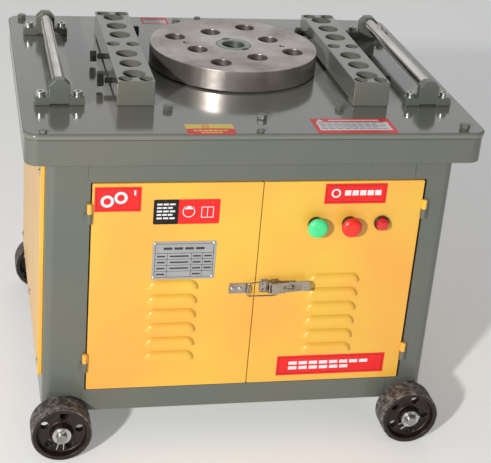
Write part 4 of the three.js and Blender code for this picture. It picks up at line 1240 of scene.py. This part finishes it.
def build_wheels():
    r = WHEEL_R
    rim, web_in, web_out = 50, 22, 37
    outline = softened([
        (10.5, 3), (21, 3, 2), (23, web_in, 3), (47, web_in, 3), (rim - 1, 0, 1), (r, 0, 2.5),
        (r, WHEEL_WIDTH, 2.5), (rim, WHEEL_WIDTH, 2), (47, web_out, 4), (23, web_out, 4),
        (19.5, WHEEL_WIDTH - 1, 1.5), (10.5, WHEEL_WIDTH - 1)], 4)
    for end, way in (("front", -1), ("rear", 1)):
        for side in SIDES:
            name = f"wheel_{end}_{side}"
            lo, hi = box_mm(name)
            x, z = (lo.x + hi.x) / 2, (lo.z + hi.z) / 2
            place = axes((x, way * WHEEL_INNER, z), (-way, 0, 0), (0, 0, 1))
            wheel = Shape().lathe([*outline, outline[0]], place, 96)
            edge = r - 2.8
            for i, f in enumerate(wheel.faces):
                local = [place.inverted() @ wheel.verts[v] for v in f]
                if all(p.xy.length > edge for p in local):
                    wheel.tags[i] = 1
            cut = Shape()
            flared = WEB_HOLE_R + 0.9
            half = [(0, web_in - 9), (flared, web_in - 9), (flared, web_in - 0.4)]
            hole = mirrored([*half, (WEB_HOLE_R, web_in + 0.6)], (web_in + web_out) / 2)
            for k in range(WEB_HOLE_COUNT):
                a = math.radians(WEB_HOLE_FIRST[side] + 360 / WEB_HOLE_COUNT * k)
                spot = at(-way * WEB_HOLE_RING * math.cos(a), WEB_HOLE_RING * math.sin(a), 0)
                cut.lathe(hole, place @ spot, 32)
            body = f"{end}_{side}_wheel"
            make(f"cast_{name}", wheel, [WHEEL_IRON, TREAD_IRON], body, [name], [cut], angle=32)
            build_wheel_end(end, side, way, x, z)


def build_wheel_end(end, side, way, x, z):
    """The washer and the split pin that keep a wheel on its axle."""
    face = WHEEL_INNER + WHEEL_WIDTH
    place = axes((x, way * face, z), (-way, 0, 0), (0, 0, 1))
    washer = Shape().plate(circle(0, 0, 18.5, 56), 0.3, 3, [circle(0, 0, 10.3, 40)], bevel=0.5, place=place)
    make(f"axle_washer_{end}_{side}", washer, ZINC, "frame", [f"wheel_washer_{end}_{side}"])

    pin = Shape()
    tilt = Matrix.Rotation(math.radians(SPLIT_PIN_TILT[side]) * -way, 4, "Z")
    local = place @ tilt
    out = 7.6
    for leg, splay in ((-1, 7), (1, 5)):
        path = [(0.9 * leg, 13, out), (0.9 * leg, -11, out), (0.9 * leg + leg * splay, -27, out + 1.5)]
        pin.tube([local @ p for p in rounded_path(path, 5, 4)], 1.1, sides=10)
    loop = [(3.2 * math.sin(a), 16 - 3.2 * math.cos(a), out) for a in (math.tau * k / 20 for k in range(20))]
    pin.tube([local @ Vector(p) for p in loop], 1.1, closed=True, sides=10)
    make(f"split_pin_{end}_{side}", pin, ZINC)


def build_axles():
    for side in SIDES:
        lo, hi = box_mm(f"axle_{side}")
        x, z = (lo.x + hi.x) / 2, (lo.z + hi.z) / 2
        half = WHEEL_INNER - 4
        axle = Shape().box((x - 15, -half, z - 15), (x + 15, half, z + 15), 1.5, 2)
        for way in (-1, 1):
            length = hi.y - half
            profile = softened([(0, 0), (10, 0), (10, length, 1.4), (0, length)], 3, closed=False)
            axle.lathe(profile, axes((x, way * half, z), (-way, 0, 0), (0, 0, 1)), 40)
        make(f"wheel_axle_{side}", axle, BARE_STEEL, "frame", [f"axle_{side}"])


# --- CAD nodes that stay


KEPT = {
    "worm_wheel": BRONZE, "worm_shaft": BARE_STEEL, "motor_shaft": BARE_STEEL,
    "main_bearing_upper": BARE_STEEL, "main_bearing_lower": BARE_STEEL,
    "worm_bearing_left": BARE_STEEL, "worm_bearing_right": BARE_STEEL,
    "driven_pulley": BLACK_STEEL, "motor_pulley": BLACK_STEEL, "v_belt": RUBBER,
    "gearbox_housing": GREEN_PAINT, "gearbox_cover": GREEN_PAINT,
    "motor_housing": GREEN_PAINT, "motor_fan_cover": GREEN_PAINT,
    "motor_fan": BLACK_PLASTIC, "start_contacts": BLACK_PLASTIC, "stop_contacts": BLACK_PLASTIC,
    "control_box": DARK_GREY,
}


def finish_kept_nodes():
    """Every CAD node gets a finish, so that a pose that shows one shows its real material."""
    for name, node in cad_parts.items():
        node.data.materials.clear()
        node.data.materials.append(KEPT.get(name, GREY))


# --- camera, floor and lights


# solved from the photograph's perspective
CAMERA_AT = (-548.9, -2505.9, 1571.7)
CAMERA_TURN = (12.713, 24.335, 4.61)  # yaw, pitch and roll, in degrees
CAMERA_LENS = 95.02
CAMERA_SHIFT = (0.0396, -0.0825)


def look_matrix(yaw, pitch, roll, location):
    """A camera that looks along +Y turned right by yaw, down by pitch and rolled by roll, in degrees."""
    y, p, r = (math.radians(a) for a in (yaw, pitch, roll))
    forward = Vector((math.sin(y) * math.cos(p), math.cos(y) * math.cos(p), -math.sin(p)))
    right = Vector((math.cos(y), -math.sin(y), 0))
    up = right.cross(forward)
    side = right * math.cos(r) + up * math.sin(r)
    top = up * math.cos(r) - right * math.sin(r)
    turn = Matrix((side, top, -forward)).transposed().to_4x4()
    return Matrix.Translation(location) @ turn


def build_camera():
    data = bpy.data.cameras.new("camera")
    camera = linked("camera", data)
    data.sensor_width = 36
    data.lens = CAMERA_LENS
    data.shift_x, data.shift_y = CAMERA_SHIFT
    data.clip_start, data.clip_end = 0.1, 60
    data.dof.use_dof = False
    camera.matrix_world = look_matrix(*CAMERA_TURN, Vector(CAMERA_AT) * MM)
    bpy.context.scene.camera = camera


def area_light(name, location, target, size, power, colour=(1, 1, 1)):
    data = bpy.data.lights.new(name, "AREA")
    data.shape, data.size, data.energy, data.color = "DISK", size, power, colour
    light = linked(name, data)
    place = Vector(location)
    light.location = place
    light.rotation_mode = "QUATERNION"
    light.rotation_quaternion = (Vector(target) - place).to_track_quat("-Z", "Y")
    return light


def build_stage():
    half = 14
    floor = bpy.data.meshes.new("floor")
    corners = [(-half, -half, 0), (half, -half, 0), (half, half, 0), (-half, half, 0)]
    floor.from_pydata(corners, [], [range(4)])
    obj = linked("floor", floor)
    f = Finish("pale_floor", Emission_Color=(1, 1, 1, 1), Emission_Strength=0.20)
    f.tone = f.blend(f.noise(1.5, 2), rgb(240, 240, 240), rgb(246, 246, 246))
    floor.materials.append(f.done(0.75))

    world = bpy.data.worlds.new("studio")
    world.use_nodes = True
    sky = world.node_tree.nodes["Background"]
    sky.inputs["Color"].default_value = (1.0, 1.0, 1.0, 1.0)
    sky.inputs["Strength"].default_value = 0.25
    bpy.context.scene.world = world
    middle = (0, 0, 0.45)
    area_light("key", (-3.0, -4.2, 2.35), middle, 0.25, 250, (1.0, 0.985, 0.95))
    card = area_light("rear_card", (1.2, 7.0, 4.0), middle, 9.0, 62)
    card.data.shape, card.data.size_y = "RECTANGLE", 4.5
    bpy.context.scene.view_settings.view_transform = "Standard"


# --- everything together

build_camera()
build_stage()
finish_kept_nodes()
build_table()
build_table_bolts()
build_disc()
for one_side in SIDES:
    build_rail(one_side)
    build_roller(one_side)
    build_door(one_side)
build_cabinet()
build_covers()
build_controls()
build_latch()
build_stickers()
build_nameplate()
build_wheels()
build_axles()
